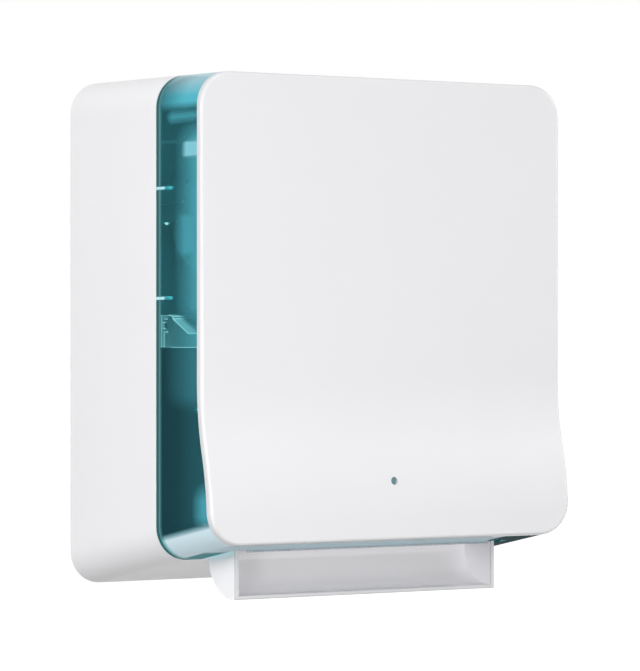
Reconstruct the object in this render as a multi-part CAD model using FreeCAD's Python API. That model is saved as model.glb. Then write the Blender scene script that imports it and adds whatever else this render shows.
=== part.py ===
import FreeCAD, Part
import math
import os

from FreeCAD import Placement, Rotation, Vector

# Sensor paper towel dispenser for a wall. Millimetres, +Z up, the wall is the plane Y = 0 and the front looks
# along -Y. The origin is the centre of the four wall screw holes on the back face. Most functions here take a
# depth, which is the distance out from the wall, so that depth = -Y.

# Outer form
WALL_WIDTH = 331.0
TOP_Z = 193.2
BOTTOM_Z = -200.5
SIDE_DRAFT = 0.016
UNDERSIDE_RISE = 0.1886
CORNER_R = 25.8
CASING_DEPTH = 133.6
PANEL_DEPTH = 199.6
FOOT_FLARE = 14.2
FOOT_TOP_Z = -40.0
FOOT_BOTTOM_Z = -146.0
COVER_SEAM = 0.6

# Walls of the casing, hood and panel
CASING_WALL = 3.0
HOOD_WALL = 2.5
PANEL_WALL = 3.0
PANEL_RIM_WIDTH = 3.0
PANEL_RIM_DEPTH = 6.0
PANEL_EDGE_ROUND = 2.5

# Wall screws
WALL_HOLE_X = 80.0
WALL_HOLE_Z = 85.0
WALL_HOLE_R = 2.75
WALL_SCREW_ACCESS_R = 8.0

# Fits and clearances
PIN_CLEARANCE = 0.05
SHAFT_CLEARANCE = 0.03
LOOSE_FIT = 0.3
SLIP_FIT = 0.1
OVERRUN = 1.0

# Screws
SCREW_R = 1.5
SCREW_HEAD_R = 2.8
SCREW_HEAD_H = 1.8
SCREW_RECESS = 1.0
SCREW_CROSS_LENGTH = 0.6
SCREW_CROSS_WIDTH = 0.16
SCREW_LENGTH = 7.0
SMALL_SCREW_R = 1.1
SMALL_SCREW_HEAD_R = 2.1
SMALL_SCREW_LENGTH = 5.0

# Cover hinge
HINGE_X = 95.0
HINGE_DEPTH = 118.2
HINGE_DROP = 4.2
HINGE_PIN_R = 1.5
HINGE_KNUCKLE_R = 4.0
HINGE_ARM_WIDTH = 15.0
HINGE_SLOT_WIDTH = 16.0
HINGE_SLOT_BACK = 5.6
HINGE_EAR_WIDTH = 3.0
HINGE_EAR_R = 6.0
HINGE_ARM_THICKNESS = 4.0
HINGE_PAD_DEPTH = 140.0
HINGE_PAD_LENGTH = 18.0
HINGE_PAD_DROP = 5.0
HINGE_SCREW_SHARES = (0.28, 0.78)
HINGE_PLATE_THICKNESS = 3.0

# Guide fins on the casing's rim
FIN_Z = (105.0, 22.5)
FIN_OUTER_X = 159.3
FIN_THICKNESS = 2.0
FIN_HEIGHT = 2.4
FIN_BACK = 112.0
FIN_FRONT = 149.0

# Lock
LOCK_DEPTH = 112.0
LOCK_Z = -128.0
LOCK_BARREL_R = 8.0
LOCK_FLANGE_R = 10.0
LOCK_FLANGE_H = 1.5
LOCK_INNER_X = 147.0
LOCK_PLUG_R = 5.0
LOCK_NUT_R = 12.0
LOCK_NUT_H = 3.0
LOCK_CAM_THICKNESS = 1.8
LOCK_CAM_LENGTH = 21.0
LOCK_CAM_WIDTH = 10.0
LOCK_TANG = 4.0
LOCK_TANG_END = 0.8
KEY_SLOT_WIDTH = 1.2
KEY_SLOT_HEIGHT = 6.0
KEY_SLOT_DEPTH = 9.0
STRIKE_THICKNESS = 2.5
STRIKE_X = 141.0
STRIKE_Z = -112.0
STRIKE_HEIGHT = 12.0
STRIKE_LIP_LENGTH = 7.5
STRIKE_PAD_DEPTH = 142.0
STRIKE_PAD_LENGTH = 16.0
STRIKE_PAD_X = 156.0
STRIKE_PAD_MARGIN = 2.0
STRIKE_SCREW_PLACE = 0.6
STRIKE_CAM_GAP = 0.5

# Feed unit frame
PLATE_INNER_X = 118.0
PLATE_THICKNESS = 3.0
FRAME_BACK_DEPTH = 10.0
FRAME_WALL = 3.0
FRAME_TOP_Z = -15.0
SHELF_Z = -54.0
SHELF_FRONT = 133.0
PLATE_SETBACK = 21.6
PLATE_FRONT = PANEL_DEPTH - PLATE_SETBACK
PLATE_SHOULDER_Z = -70.0
PLATE_NOSE_Z = -110.0
PLATE_BOTTOM_Z = -165.0
PLATE_HEEL_Z = -186.0
FRAME_BACK_BOTTOM_Z = -160.0
FRAME_BOSS_X = 105.0
FRAME_BOSS_Z = (-76.0, -150.0)
FRAME_BOSS_R = 5.0
BLOCK_SIZE = 10.0
BLOCK_RISE = 4.0
GUSSET_SIZE = 30.0

# Rollers
DRIVE_SETBACK = 34.0
DRIVE_DEPTH = PLATE_FRONT - DRIVE_SETBACK
DRIVE_Z = -148.0
DRIVE_SHAFT_R = 3.0
DRIVE_CORE_R = 9.0
DRIVE_ROLLER_R = 14.0
PRESSURE_SHAFT_R = 2.5
PRESSURE_ROLLER_R = 9.0
ROLLER_GAP = 0.3
ROLLER_CHAMFER = 0.8
ROLLER_SEGMENTS = 3
ROLLER_SEGMENT_GAP = 14.0
BUSH_R = 5.0
BUSH_FLANGE_R = 6.5
BUSH_FLANGE_H = 1.2
BLOCK_HEIGHT = 11.0
BLOCK_LENGTH = 10.6
BLOCK_WIDTH = 4.5
TONGUE_HEIGHT = 5.0
TONGUE_LENGTH = 8.5
ROLLER_END_GAP = 8.5
ROLLER_HALF = PLATE_INNER_X - BLOCK_WIDTH - ROLLER_END_GAP
CORE_OVERHANG = 3.0
SHAFT_END_GAP = 0.5
SHAFT_END_LENGTH = 2.0
SHAFT_COLLAR = 1.2
PRESSURE_SPRING_R = 2.6
PRESSURE_SPRING_TURNS = 3
SPRING_WIRE_R = 0.4

# Outlet tray, hung under the rollers
TRAY_WALL = 3.0
TRAY_LIP_SETBACK = 4.1
TRAY_FRONT = PLATE_FRONT - TRAY_LIP_SETBACK
TRAY_BACK_OFFSET = 10.0
TRAY_BACK = DRIVE_DEPTH - TRAY_BACK_OFFSET
TRAY_FLOOR_Z = -204.0
TRAY_CURVE_R = 34.6
TRAY_LIP_LENGTH = 5.9
TRAY_CURVE_DEPTH = TRAY_FRONT - TRAY_LIP_LENGTH
TRAY_LIP_ROUND = 1.35
TRAY_EAR_Z = -158.0
TRAY_EAR_LENGTH = 12.0
TRAY_EAR_BACK = TRAY_BACK - TRAY_EAR_LENGTH
TRAY_BACK_TOP_Z = -163.5
TRAY_SCREW_SPACING = 22.0
TRAY_SCREW_BACK = TRAY_BACK - TRAY_EAR_LENGTH / 2
TRAY_SCREW_DEPTHS = (TRAY_SCREW_BACK, TRAY_SCREW_BACK + TRAY_SCREW_SPACING)
TRAY_SCREW_Z = -161.5
NOTCH_GAP = 3.0
NOTCH_MARGIN = 4.0
NOTCH_FRONT = PLATE_FRONT + NOTCH_MARGIN
PLATE_TOE_DEPTH = TRAY_EAR_BACK + TRAY_WALL

# Gear train
GEAR_MODULE = 1.0
DRIVE_TEETH = 32
IDLER_TEETH = 28
PINION_TEETH = 16
GEAR_WIDTH = 7.0
GEAR_PLATE_GAP = 3.0
GEAR_X = PLATE_INNER_X + PLATE_THICKNESS + GEAR_PLATE_GAP
GEAR_SHAFT_REACH = 1.0
GEAR_CENTRE_CLEARANCE = 0.1
GEAR_BACKLASH = 0.18
PRESSURE_ANGLE = 20.0
ROOT_DEPTH = 1.25
FLANK_START = 0.03
IDLER_ANGLE = 130.0
PINION_ANGLE = 160.0
IDLER_PIN_R = 2.0
IDLER_PIN_HEAD = 1.2
MOTOR_R = 18.5
MOTOR_LENGTH = 58.0
MOTOR_SHAFT_R = 3.0
MOTOR_CAN_R = 14.0
MOTOR_GEARBOX_LENGTH = 24.0
MOTOR_TAIL = 2.0
MOTOR_LUG_LENGTH = 4.0
MOTOR_LUG_PLACE = 8.6
MOTOR_LUG_THICKNESS = 0.8
MOTOR_LUG_WIDTH = 3.0
MOTOR_SCREW_RADIUS = 15.0
GEAR_COVER_WALL = 1.5
GEAR_COVER_HEIGHT = 14.5
GEAR_COVER_EAR_OVERLAP = 1.5
GEAR_COVER_EAR_ANGLE = 0.9

# Battery box, its lid and the electronics cover beside it
BOX_LEFT = -117.5
BOX_RIGHT = 20.0
BOX_BACK = 58.0
BOX_WALL = 2.5
BACKSTOP_Z = 10.0
CELL_R = 17.1
CELL_LENGTH = 59.5
CELL_TIP_R = 4.5
CELL_TIP_H = 1.8
CELL_GAP = 0.4
CELL_CHAMFER = 0.6
CELL_DIVIDER = 1.6
CONTACT_PLATE = 0.6
CONTACT_GAP = 0.05
CONTACT_CONE_R = 7.7
CONTACT_WALL = 1.0
LID_POST_DROP = 9.0
LID_ROD_DEPTH = 67.5
LID_ROD_Z = 2.0
LID_ROD_R = 2.5
LID_CLIP_R = 5.4
LID_CLIP_MOUTH = 4.2
LID_NOSE_DEPTH = 72.0
LID_NOSE_Z = 10.5
LID_BACK = 76.5
LID_BREAK_DEPTH = 103.0
LID_FLAT_Z = -4.0
LID_WALL = 2.5
LID_FRONT = 132.8
LID_SIDE_GAP = 0.5
LID_RIM_GAP = 0.4
LID_TAB_WIDTH = 20.0
LID_TAB_THICKNESS = 2.0
LID_TAB_DROP = 3.0
LID_LEDGE_SLOPE = 1.4
ELECTRONICS_LEFT = 22.0
ELECTRONICS_RIGHT = 117.5

# Circuit board. Its blocks are given by their distance from its left end and back edge, then their width,
# length and height.
BOARD_BLOCKS = ((20.0, 12.0, 12.0, 8.0, 1.6), (50.5, 8.0, 15.0, 12.0, 11.0), (3.0, 16.0, 6.0, 14.0, 8.0))
DRUM_X = (42.0, 51.0)
DRUM_BACK = 14.0
DRUM_R = 3.2
DRUM_H = 11.0
TACT_SIZE = 6.0
TACT_H = 4.0
BOARD_MARGIN = 4.0
BOARD_Z = -48.0
BOARD_THICKNESS = 1.6
BOARD_BACK = 64.0
BOARD_FRONT = 128.0
STANDOFF_R = 3.0

# Feed button and length switch
BUTTON_X = 92.0
BUTTON_DEPTH = 117.0
BUTTON_SIZE = 12.0
BUTTON_RISE = 4.0
BUTTON_TRAVEL = 2.0
BUTTON_FLANGE = 1.5
BUTTON_STEM = 4.0
BUTTON_ROUND = 1.2
BUTTON_SPRING_R = 4.5
BUTTON_SPRING_TURNS = 5
BRIDGE_Z = -22.0
BRIDGE_WALL = 1.5
BRIDGE_MARGIN = 3.0
BRIDGE_LENGTH = 14.0
BRIDGE_LEG_LENGTH = 8.0
SWITCH_X = 52.0
SLIDER_WIDTH = 5.0
SLIDER_LENGTH = 8.0
SLIDER_TRAVEL = 4.0
SLIDER_RISE = 2.5
SLIDER_CARRIAGE = 2.0
SLIDER_GRIP = (-1.6, 0.0, 1.6)
SLIDER_GRIP_WIDTH = 0.6
SLIDER_GRIP_DEPTH = 0.5
SLIDER_SHOULDER = 1.5
SWITCH_WALL = 2.0
SWITCH_RIM = 6.0

# Roll and its arms
ROLL_DEPTH = 95.0
ROLL_Z = 98.0
ROLL_R = 55.0
ROLL_HALF = 100.0
CORE_R = 21.0
CORE_WALL = 2.0
HUB_FLANGE_R = 25.0
HUB_FLANGE_H = 3.0
HUB_NOSE_LENGTH = 12.6
HUB_NOSE_TIP_R = 15.5
HUB_STUB_R = 4.0
HUB_FACE_GAP = 0.4
HUB_WALL = 3.0
ARM_X = 104.0
ARM_THICKNESS = 4.0
ARM_HALF = 16.0
ARM_TIP_R = 14.0
ARM_PAD_FRONT = 6.0
ARM_FOOT_THICKNESS = 3.5
ARM_FOOT_LENGTH = 22.0
ARM_PIN_X = 112.0
ARM_PIN_DEPTH = 14.0
ARM_PIN_R = 2.0
ARM_PIN_HEAD = 1.2
ARM_PIN_HEAD_R = 3.4
ARM_RIB_WIDTH = 3.0
ARM_KNUCKLE_R = 5.0
ARM_KNUCKLE_HALF = 10.0
ARM_EAR_HALF = 20.0
ARM_EAR_WALL = 4.0
ARM_BRACKET_WALL = 2.0
ARM_SPRING_LEG = 26.0
ARM_SPRING_WIRE_R = 0.6
ARM_SPRING_TURNS = 2

# Front beam, tear bar and sensor
BEAM_THICKNESS = 3.0
BEAM_TOP_Z = -108.0
BEAM_BOTTOM_Z = -165.0
BEAM_TAB_LENGTH = 12.0
BEAM_TAB_HEIGHT = 10.0
BEAM_TAB_Z = -120.0
BEAM_RIB = 2.0
TEAR_HALF = 110.0
TEAR_THICKNESS = 1.2
TEAR_TOP_Z = -157.0
TEAR_ROOT_Z = -166.5
TEAR_TOOTH = 2.0
TEAR_TEETH = 110
TEAR_SCREW_Z = -160.5
TEAR_SCREW_COVER = 1.0
TEAR_SCREW_X = (-90.0, 0.0, 90.0)
SENSOR_Z = -115.9
SHROUD_HALF_X = 14.0
SHROUD_HALF_Z = 7.5
SHROUD_GAP = 0.9
SHROUD_WALL = 1.5
DIODE_R = 1.5
DIODE_SPACING = 3.5
WINDOW_HOLE_R = 3.0
WINDOW_BODY_R = 4.4
WINDOW_FLANGE_R = 6.0
WINDOW_FLANGE_H = 1.4
WINDOW_RECESS = 2.25
MAGNET_X = 70.0
MAGNET_R = 4.0
MAGNET_H = 3.0
MAGNET_CHAMFER = 0.4
REED_HALF = 7.0
REED_R = 1.0

# Panel screws
PANEL_BOSS_X = 120.0
PANEL_BOSS_Z = (160.0, 0.0, -140.0)
PANEL_BOSS_R = 4.5

X_AXIS = Vector(1, 0, 0)
PARTS = {}
FASTENERS = {}


def at(x, depth, z):
    return Vector(x, -depth, z)


def box(x0, x1, depth0, depth1, z0, z1):
    return Part.makeBox(x1 - x0, depth1 - depth0, z1 - z0, at(x0, depth1, z0))


def rod(start, end, radius, end_radius=None):
    along = end - start
    if end_radius is None or end_radius == radius:
        return Part.makeCylinder(radius, along.Length, start, along)
    return Part.makeCone(radius, end_radius, along.Length, start, along)


def rod_x(x0, x1, depth, z, radius, end_radius=None):
    return rod(at(x0, depth, z), at(x1, depth, z), radius, end_radius)


def rod_out(x, z, depth0, depth1, radius):
    return rod(at(x, depth0, z), at(x, depth1, z), radius)


def rod_z(x, depth, z0, z1, radius):
    return rod(at(x, depth, z0), at(x, depth, z1), radius)


def side_profile(points, x0, x1):
    # a plate or bar whose outline is given as depth and height, standing from x0 to x1
    corners = [at(x0, depth, z) for depth, z in points]
    face = Part.Face(Part.makePolygon(corners + corners[:1]))
    return face.extrude(Vector(x1 - x0, 0, 0))


def join(first, *others):
    return first.fuse(list(others)).removeSplitter()


def cut(base, *tools):
    return base.cut(list(tools))


def group(*solids):
    return Part.makeCompound(list(solids))


def mirrored(shape):
    return shape.mirror(Vector(0, 0, 0), X_AXIS)


def both_sides(shape):
    return group(shape, mirrored(shape))


def keep(name, shape):
    PARTS[name] = shape


def fasten(name, *screws):
    # like screws on one body share a node as separate solids
    FASTENERS.setdefault(name, []).extend(screws)


def screw(seat, direction, length=SCREW_LENGTH, radius=SCREW_R, head_radius=SCREW_HEAD_R):
    # a cross-head screw: its head stands on the seat and its shank points along direction
    shank = Part.makeCylinder(radius, length + SCREW_HEAD_H / 2, Vector(0, 0, -SCREW_HEAD_H / 2))
    head = Part.makeCylinder(head_radius, SCREW_HEAD_H, Vector(0, 0, -SCREW_HEAD_H))
    head = head.makeChamfer(SCREW_HEAD_H / 3, [head.Edges[2]])
    arm, width = head_radius * SCREW_CROSS_LENGTH, head_radius * SCREW_CROSS_WIDTH
    slot = Part.makeBox(2 * arm, 2 * width, SCREW_RECESS, Vector(-arm, -width, -SCREW_HEAD_H))
    other = Part.makeBox(2 * width, 2 * arm, SCREW_RECESS, Vector(-width, -arm, -SCREW_HEAD_H))
    body = cut(join(shank, head), slot, other)
    body.Placement = Placement(seat, Rotation(Vector(0, 0, 1), direction))
    return body


def small_screw(seat, direction, length=SMALL_SCREW_LENGTH):
    return screw(seat, direction, length, SMALL_SCREW_R, SMALL_SCREW_HEAD_R)


def coil_points(centre, radius, turns, pitch, start_angle=0.0):
    # quarter turn points of a helix about a line along Z
    points = []
    for quarter in range(int(turns * 8) + 1):
        angle = start_angle + quarter * math.pi / 4
        rise = pitch * quarter / 8
        points.append(centre + Vector(radius * math.cos(angle), radius * math.sin(angle), rise))
    return points


def coil_spring(radius, turns, length, wire_radius):
    # a coil spring that stands on the origin along +Z, its two end turns lying flat on the wire
    pitch = (length - 2 * wire_radius) / turns
    points = coil_points(Vector(0, 0, wire_radius), radius, turns, pitch)
    path = Part.Wire([Part.Arc(*points[i:i + 3]).toShape() for i in range(0, len(points) - 2, 2)])
    start_direction = path.Edges[0].tangentAt(path.Edges[0].FirstParameter)
    ring = Part.Wire([Part.makeCircle(wire_radius, points[0], start_direction)])
    return path.makePipeShell([ring], True, False)


def place_along(shape, position, direction):
    shape.Placement = Placement(position, Rotation(Vector(0, 0, 1), direction))
    return shape


# Outer envelope of the casing and cover: a rounded rectangle that draws in with depth
def envelope_section(depth, inset):
    half = WALL_WIDTH / 2 - SIDE_DRAFT * depth - inset
    top = TOP_Z - SIDE_DRAFT * depth - inset
    bottom = underside_z(depth) + inset * math.hypot(1, UNDERSIDE_RISE)
    radius = CORNER_R - inset
    corners = ((half - radius, top - radius), (radius - half, top - radius),
               (radius - half, bottom + radius), (half - radius, bottom + radius))
    arcs = []
    for number, (x, z) in enumerate(corners):
        angles = [math.pi / 2 * number + math.pi / 4 * step for step in range(3)]
        arcs.append([at(x + radius * math.cos(a), depth, z + radius * math.sin(a)) for a in angles])
    edges = []
    for number, arc in enumerate(arcs):
        edges.append(Part.Arc(*arc).toShape())
        edges.append(Part.makeLine(arc[2], arcs[(number + 1) % 4][0]))
    return Part.Wire(edges)


def underside_z(depth):
    return BOTTOM_Z + UNDERSIDE_RISE * depth


def side_x(depth):
    return WALL_WIDTH / 2 - SIDE_DRAFT * depth


def top_z(depth):
    return TOP_Z - SIDE_DRAFT * depth


def envelope(depth0, depth1, inset=0.0):
    return Part.makeLoft([envelope_section(depth0, inset), envelope_section(depth1, inset)], True, True)


FOOT_DROP = FOOT_TOP_Z - FOOT_BOTTOM_Z
FOOT_TURN = 2 * math.atan2(FOOT_FLARE, FOOT_DROP)
FOOT_R = FOOT_DROP / (2 * math.sin(FOOT_TURN))
ENVELOPE_FRONT = PANEL_DEPTH + FOOT_FLARE + SLIP_FIT
REACH = WALL_WIDTH
SAME_PLACE = 0.001


def face_depth(z, setback=0.0):
    # depth of the panel's face at a height, or of the surface that lies setback behind it
    upper_r = FOOT_R + setback
    lower_r = FOOT_R - setback
    middle_z = FOOT_TOP_Z - upper_r * math.sin(FOOT_TURN)
    if z >= FOOT_TOP_Z:
        return PANEL_DEPTH - setback
    if z >= middle_z:
        return PANEL_DEPTH + FOOT_R - math.sqrt(upper_r ** 2 - (FOOT_TOP_Z - z) ** 2)
    if z >= FOOT_BOTTOM_Z:
        centre = PANEL_DEPTH + FOOT_FLARE - FOOT_R
        return centre + math.sqrt(lower_r ** 2 - (z - FOOT_BOTTOM_Z) ** 2)
    return PANEL_DEPTH + FOOT_FLARE - setback


def behind_face(setback=0.0):
    # everything behind the panel's face, whose foot sweeps forward in two tangent arcs
    upper_r = FOOT_R + setback
    middle_z = FOOT_TOP_Z - upper_r * math.sin(FOOT_TURN)
    upper_z = FOOT_TOP_Z - upper_r * math.sin(FOOT_TURN / 2)
    lower_z = FOOT_BOTTOM_Z + (FOOT_R - setback) * math.sin(FOOT_TURN / 2)
    levels = (REACH, FOOT_TOP_Z, upper_z, middle_z, lower_z, FOOT_BOTTOM_Z, -REACH)
    points = [at(-REACH, face_depth(z, setback), z) for z in levels]
    edges = [Part.makeLine(points[0], points[1]), Part.Arc(*points[1:4]).toShape(),
             Part.Arc(*points[3:6]).toShape(), Part.makeLine(points[5], points[6])]
    back = [points[6], at(-REACH, -1, -REACH), at(-REACH, -1, REACH), points[0]]
    edges += [Part.makeLine(back[i], back[i + 1]) for i in range(3)]
    return Part.Face(Part.Wire(edges)).extrude(Vector(2 * REACH, 0, 0))


# Rear casing: a tub of white plastic that hangs on four wall screws and carries everything else
HINGE_Z = top_z(HINGE_DEPTH) - HINGE_DROP
FRAME_FRONT = FRAME_BACK_DEPTH + FRAME_WALL
PLATE_OUTER_X = PLATE_INNER_X + PLATE_THICKNESS
ARM_OUTER_X = ARM_X + ARM_THICKNESS
LOCK_FLANGE_X = side_x(LOCK_DEPTH - LOCK_FLANGE_R) + SLIP_FIT


def hinge_places():
    return (-HINGE_X, HINGE_X)


def hinge_ears():
    ears = []
    top = top_z(HINGE_DEPTH) - CASING_WALL / 2
    for centre in hinge_places():
        for side in (-1, 1):
            inner = centre + side * HINGE_SLOT_WIDTH / 2
            outer = inner + side * HINGE_EAR_WIDTH
            low, high = min(inner, outer), max(inner, outer)
            web = box(low, high, HINGE_DEPTH - HINGE_EAR_R, HINGE_DEPTH + HINGE_EAR_R, HINGE_Z, top)
            ears.append(join(rod_x(low, high, HINGE_DEPTH, HINGE_Z, HINGE_EAR_R), web))
    return ears


def guide_fins():
    fins = []
    for z in FIN_Z:
        inner = FIN_OUTER_X - FIN_THICKNESS
        low, high = z - FIN_HEIGHT / 2, z + FIN_HEIGHT / 2
        blade = box(inner, FIN_OUTER_X, FIN_BACK, FIN_FRONT, low, high)
        root = box(inner, side_x(FIN_BACK) - CASING_WALL / 2, FIN_BACK, CASING_DEPTH - CASING_WALL, low, high)
        fin = join(blade, root)
        fins += [fin, mirrored(fin)]
    return fins


def rear_casing():
    shell = cut(envelope(0, CASING_DEPTH), envelope(CASING_WALL, CASING_DEPTH + OVERRUN, CASING_WALL))
    bosses = []
    pilots = []
    for x in (-FRAME_BOSS_X, FRAME_BOSS_X):
        for z in FRAME_BOSS_Z:
            bosses.append(rod_out(x, z, CASING_WALL / 2, FRAME_BACK_DEPTH, FRAME_BOSS_R))
            pilots.append(rod_out(x, z, FRAME_FRONT - SCREW_LENGTH, FRAME_BACK_DEPTH + OVERRUN, SCREW_R))
    pad_low, pad_high = ROLL_Z - ARM_EAR_HALF - ARM_EAR_WALL, ROLL_Z + ARM_EAR_HALF + ARM_EAR_WALL
    pad = box(ARM_X, ARM_OUTER_X + ARM_FOOT_LENGTH, CASING_WALL / 2, ARM_PAD_FRONT, pad_low, pad_high)
    bosses += [pad, mirrored(pad)]
    for x, z in arm_screw_places():
        pilots.append(rod_out(x, z, CASING_WALL / 3, ARM_PAD_FRONT + OVERRUN, SCREW_R))
        pilots.append(rod_out(-x, z, CASING_WALL / 3, ARM_PAD_FRONT + OVERRUN, SCREW_R))
    shell = join(shell, *bosses, *hinge_ears(), *guide_fins())
    holes = []
    for x in (-WALL_HOLE_X, WALL_HOLE_X):
        for z in (-WALL_HOLE_Z, WALL_HOLE_Z):
            holes.append(rod_out(x, z, -1, FRAME_BACK_DEPTH, WALL_HOLE_R))
    for centre in hinge_places():
        left, right = centre - HINGE_SLOT_WIDTH / 2, centre + HINGE_SLOT_WIDTH / 2
        slot_bottom = top_z(0) - CORNER_R / 2
        holes.append(box(left, right, HINGE_DEPTH - HINGE_SLOT_BACK, CASING_DEPTH + OVERRUN,
                         slot_bottom, TOP_Z + OVERRUN))
        holes.append(rod_x(left - CORNER_R, right + CORNER_R, HINGE_DEPTH, HINGE_Z, HINGE_PIN_R))
    holes.append(rod_x(STRIKE_PAD_X, WALL_WIDTH, LOCK_DEPTH, LOCK_Z, LOCK_BARREL_R))
    keep("rear_casing", cut(shell, *pilots, *holes))


def arm_screw_places():
    x = ARM_OUTER_X + ARM_FOOT_LENGTH - 2 * SCREW_HEAD_R
    return ((x, ROLL_Z - ARM_HALF + SCREW_HEAD_R), (x, ROLL_Z + ARM_HALF - SCREW_HEAD_R))


def hinge_pins():
    half = HINGE_SLOT_WIDTH / 2 + HINGE_EAR_WIDTH
    keep("hinge_pins", group(*[rod_x(x - half, x + half, HINGE_DEPTH, HINGE_Z, HINGE_PIN_R)
                               for x in hinge_places()]))


# Cover: the clear hood, the panel on its front, and what is screwed to them
HOOD_BACK = CASING_DEPTH + COVER_SEAM
HOOD_FACE = PANEL_RIM_DEPTH
HOOD_INNER = PANEL_RIM_DEPTH + HOOD_WALL
STRIKE_SCREW_DEPTH = STRIKE_PAD_DEPTH + STRIKE_PAD_LENGTH * STRIKE_SCREW_PLACE
WINDOW_SEAT = face_depth(SENSOR_Z + WINDOW_FLANGE_R, HOOD_INNER) - SLIP_FIT / 2


def panel_boss_places():
    return [(x, z) for x in (-PANEL_BOSS_X, PANEL_BOSS_X) for z in PANEL_BOSS_Z]


def hood():
    outer = envelope(HOOD_BACK, ENVELOPE_FRONT).common(behind_face(HOOD_FACE))
    inner = envelope(HOOD_BACK - OVERRUN, ENVELOPE_FRONT, HOOD_WALL).common(behind_face(HOOD_INNER))
    shell = outer.cut(inner)
    additions = []
    cuts = []
    for centre in hinge_places():
        half = HINGE_ARM_WIDTH / 2
        front = HINGE_PAD_DEPTH + HINGE_PAD_LENGTH
        low = top_z(HINGE_PAD_DEPTH) - HOOD_WALL - HINGE_PAD_DROP
        high = top_z(front) - HOOD_WALL / 2
        additions.append(box(centre - half, centre + half, HINGE_PAD_DEPTH, front, low, high))
    for x, depth in hinge_screw_places():
        cuts.append(rod_z(x, depth, HINGE_PLATE_Z, HINGE_PLATE_Z + SCREW_LENGTH, SCREW_R))
    strike_front = STRIKE_PAD_DEPTH + STRIKE_PAD_LENGTH
    pad_half = STRIKE_HEIGHT / 2 + STRIKE_PAD_MARGIN
    wall_x = side_x(strike_front) - HOOD_WALL / 2
    additions.append(box(STRIKE_PAD_X, wall_x, STRIKE_PAD_DEPTH, strike_front,
                         STRIKE_Z - pad_half, STRIKE_Z + pad_half))
    for z in strike_screw_heights():
        cuts.append(rod_x(STRIKE_PAD_X - OVERRUN, STRIKE_PAD_X - STRIKE_THICKNESS + SMALL_SCREW_LENGTH,
                          STRIKE_SCREW_DEPTH, z, SMALL_SCREW_R))
    magnet_back = face_depth(SENSOR_Z, HOOD_INNER) - 3 * MAGNET_H
    magnet_cup_r = MAGNET_R + HOOD_WALL / 2
    additions.append(rod_out(MAGNET_X, SENSOR_Z, magnet_back, magnet_back + 4 * MAGNET_H, magnet_cup_r))
    cuts.append(rod_out(MAGNET_X, SENSOR_Z, magnet_back - OVERRUN, magnet_back + MAGNET_H, MAGNET_R))
    cuts.append(rod_out(0, SENSOR_Z, NOTCH_FRONT, ENVELOPE_FRONT, WINDOW_BODY_R + SLIP_FIT))
    for x, z in panel_boss_places():
        cuts.append(rod_out(x, z, HOOD_BACK, ENVELOPE_FRONT, SCREW_R + SLIP_FIT))
    notch = PLATE_OUTER_X + NOTCH_GAP
    notch_top = underside_z(NOTCH_FRONT) + 2 * HOOD_WALL
    cuts.append(box(-notch, notch, HOOD_BACK - OVERRUN, NOTCH_FRONT, underside_z(0), notch_top))
    shell = join(shell, *additions)
    keep("hood", cut(shell, *cuts))


def front_panel():
    slab = envelope(HOOD_BACK, ENVELOPE_FRONT).common(behind_face()).cut(behind_face(PANEL_RIM_DEPTH))
    hollow = envelope(HOOD_BACK, ENVELOPE_FRONT, PANEL_RIM_WIDTH).common(behind_face(PANEL_WALL))
    plate = slab.cut(hollow)
    skin = behind_face().Shells[0]
    rim = []
    for edge in plate.Edges:
        middle = edge.valueAt((edge.FirstParameter + edge.LastParameter) / 2)
        if skin.distToShape(Part.Vertex(middle))[0] < SAME_PLACE:
            rim.append(edge)
    plate = plate.makeFillet(PANEL_EDGE_ROUND, rim)
    bosses = []
    for x, z in panel_boss_places():
        bosses.append(rod_out(x, z, HOOD_BACK, ENVELOPE_FRONT, PANEL_BOSS_R))
    between = behind_face(PANEL_WALL / 2).cut(behind_face(PANEL_RIM_DEPTH))
    bosses = [boss.common(between) for boss in bosses]
    plate = join(plate, *bosses)
    pilots = [rod_out(x, z, HOOD_BACK, face_depth(z) - PANEL_WALL / 2, SCREW_R)
              for x, z in panel_boss_places()]
    window = rod_out(0, SENSOR_Z, HOOD_BACK, ENVELOPE_FRONT, WINDOW_HOLE_R)
    keep("front_panel", cut(plate, window, *pilots))


def panel_screws():
    screws = []
    for x, z in panel_boss_places():
        seat = min(face_depth(z - SCREW_HEAD_R, HOOD_INNER), face_depth(z + SCREW_HEAD_R, HOOD_INNER))
        length = face_depth(z) - PANEL_WALL / 2 - seat
        screws.append(screw(at(x, seat, z), Vector(0, -1, 0), length))
    keep("panel_screws", group(*screws))


def sensor_window():
    face = face_depth(SENSOR_Z)
    shoulder = face_depth(SENSOR_Z + WINDOW_BODY_R, PANEL_WALL) - SLIP_FIT
    shoulder = min(shoulder, face_depth(SENSOR_Z - WINDOW_BODY_R, PANEL_WALL) - SLIP_FIT)
    flange = rod_out(0, SENSOR_Z, WINDOW_SEAT - WINDOW_FLANGE_H, WINDOW_SEAT, WINDOW_FLANGE_R)
    body = rod_out(0, SENSOR_Z, WINDOW_SEAT - WINDOW_FLANGE_H, shoulder, WINDOW_BODY_R)
    nose = rod_out(0, SENSOR_Z, WINDOW_SEAT, face - WINDOW_RECESS, WINDOW_HOLE_R - PIN_CLEARANCE)
    keep("sensor_window", join(flange, body, nose))


HINGE_PLATE_TOP = top_z(HINGE_PAD_DEPTH) - HOOD_WALL - HINGE_PAD_DROP
HINGE_PLATE_Z = HINGE_PLATE_TOP - HINGE_PLATE_THICKNESS


def hinge_screw_places():
    depths = [HINGE_PAD_DEPTH + HINGE_PAD_LENGTH * share for share in HINGE_SCREW_SHARES]
    return [(x, depth) for x in hinge_places() for depth in depths]


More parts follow.
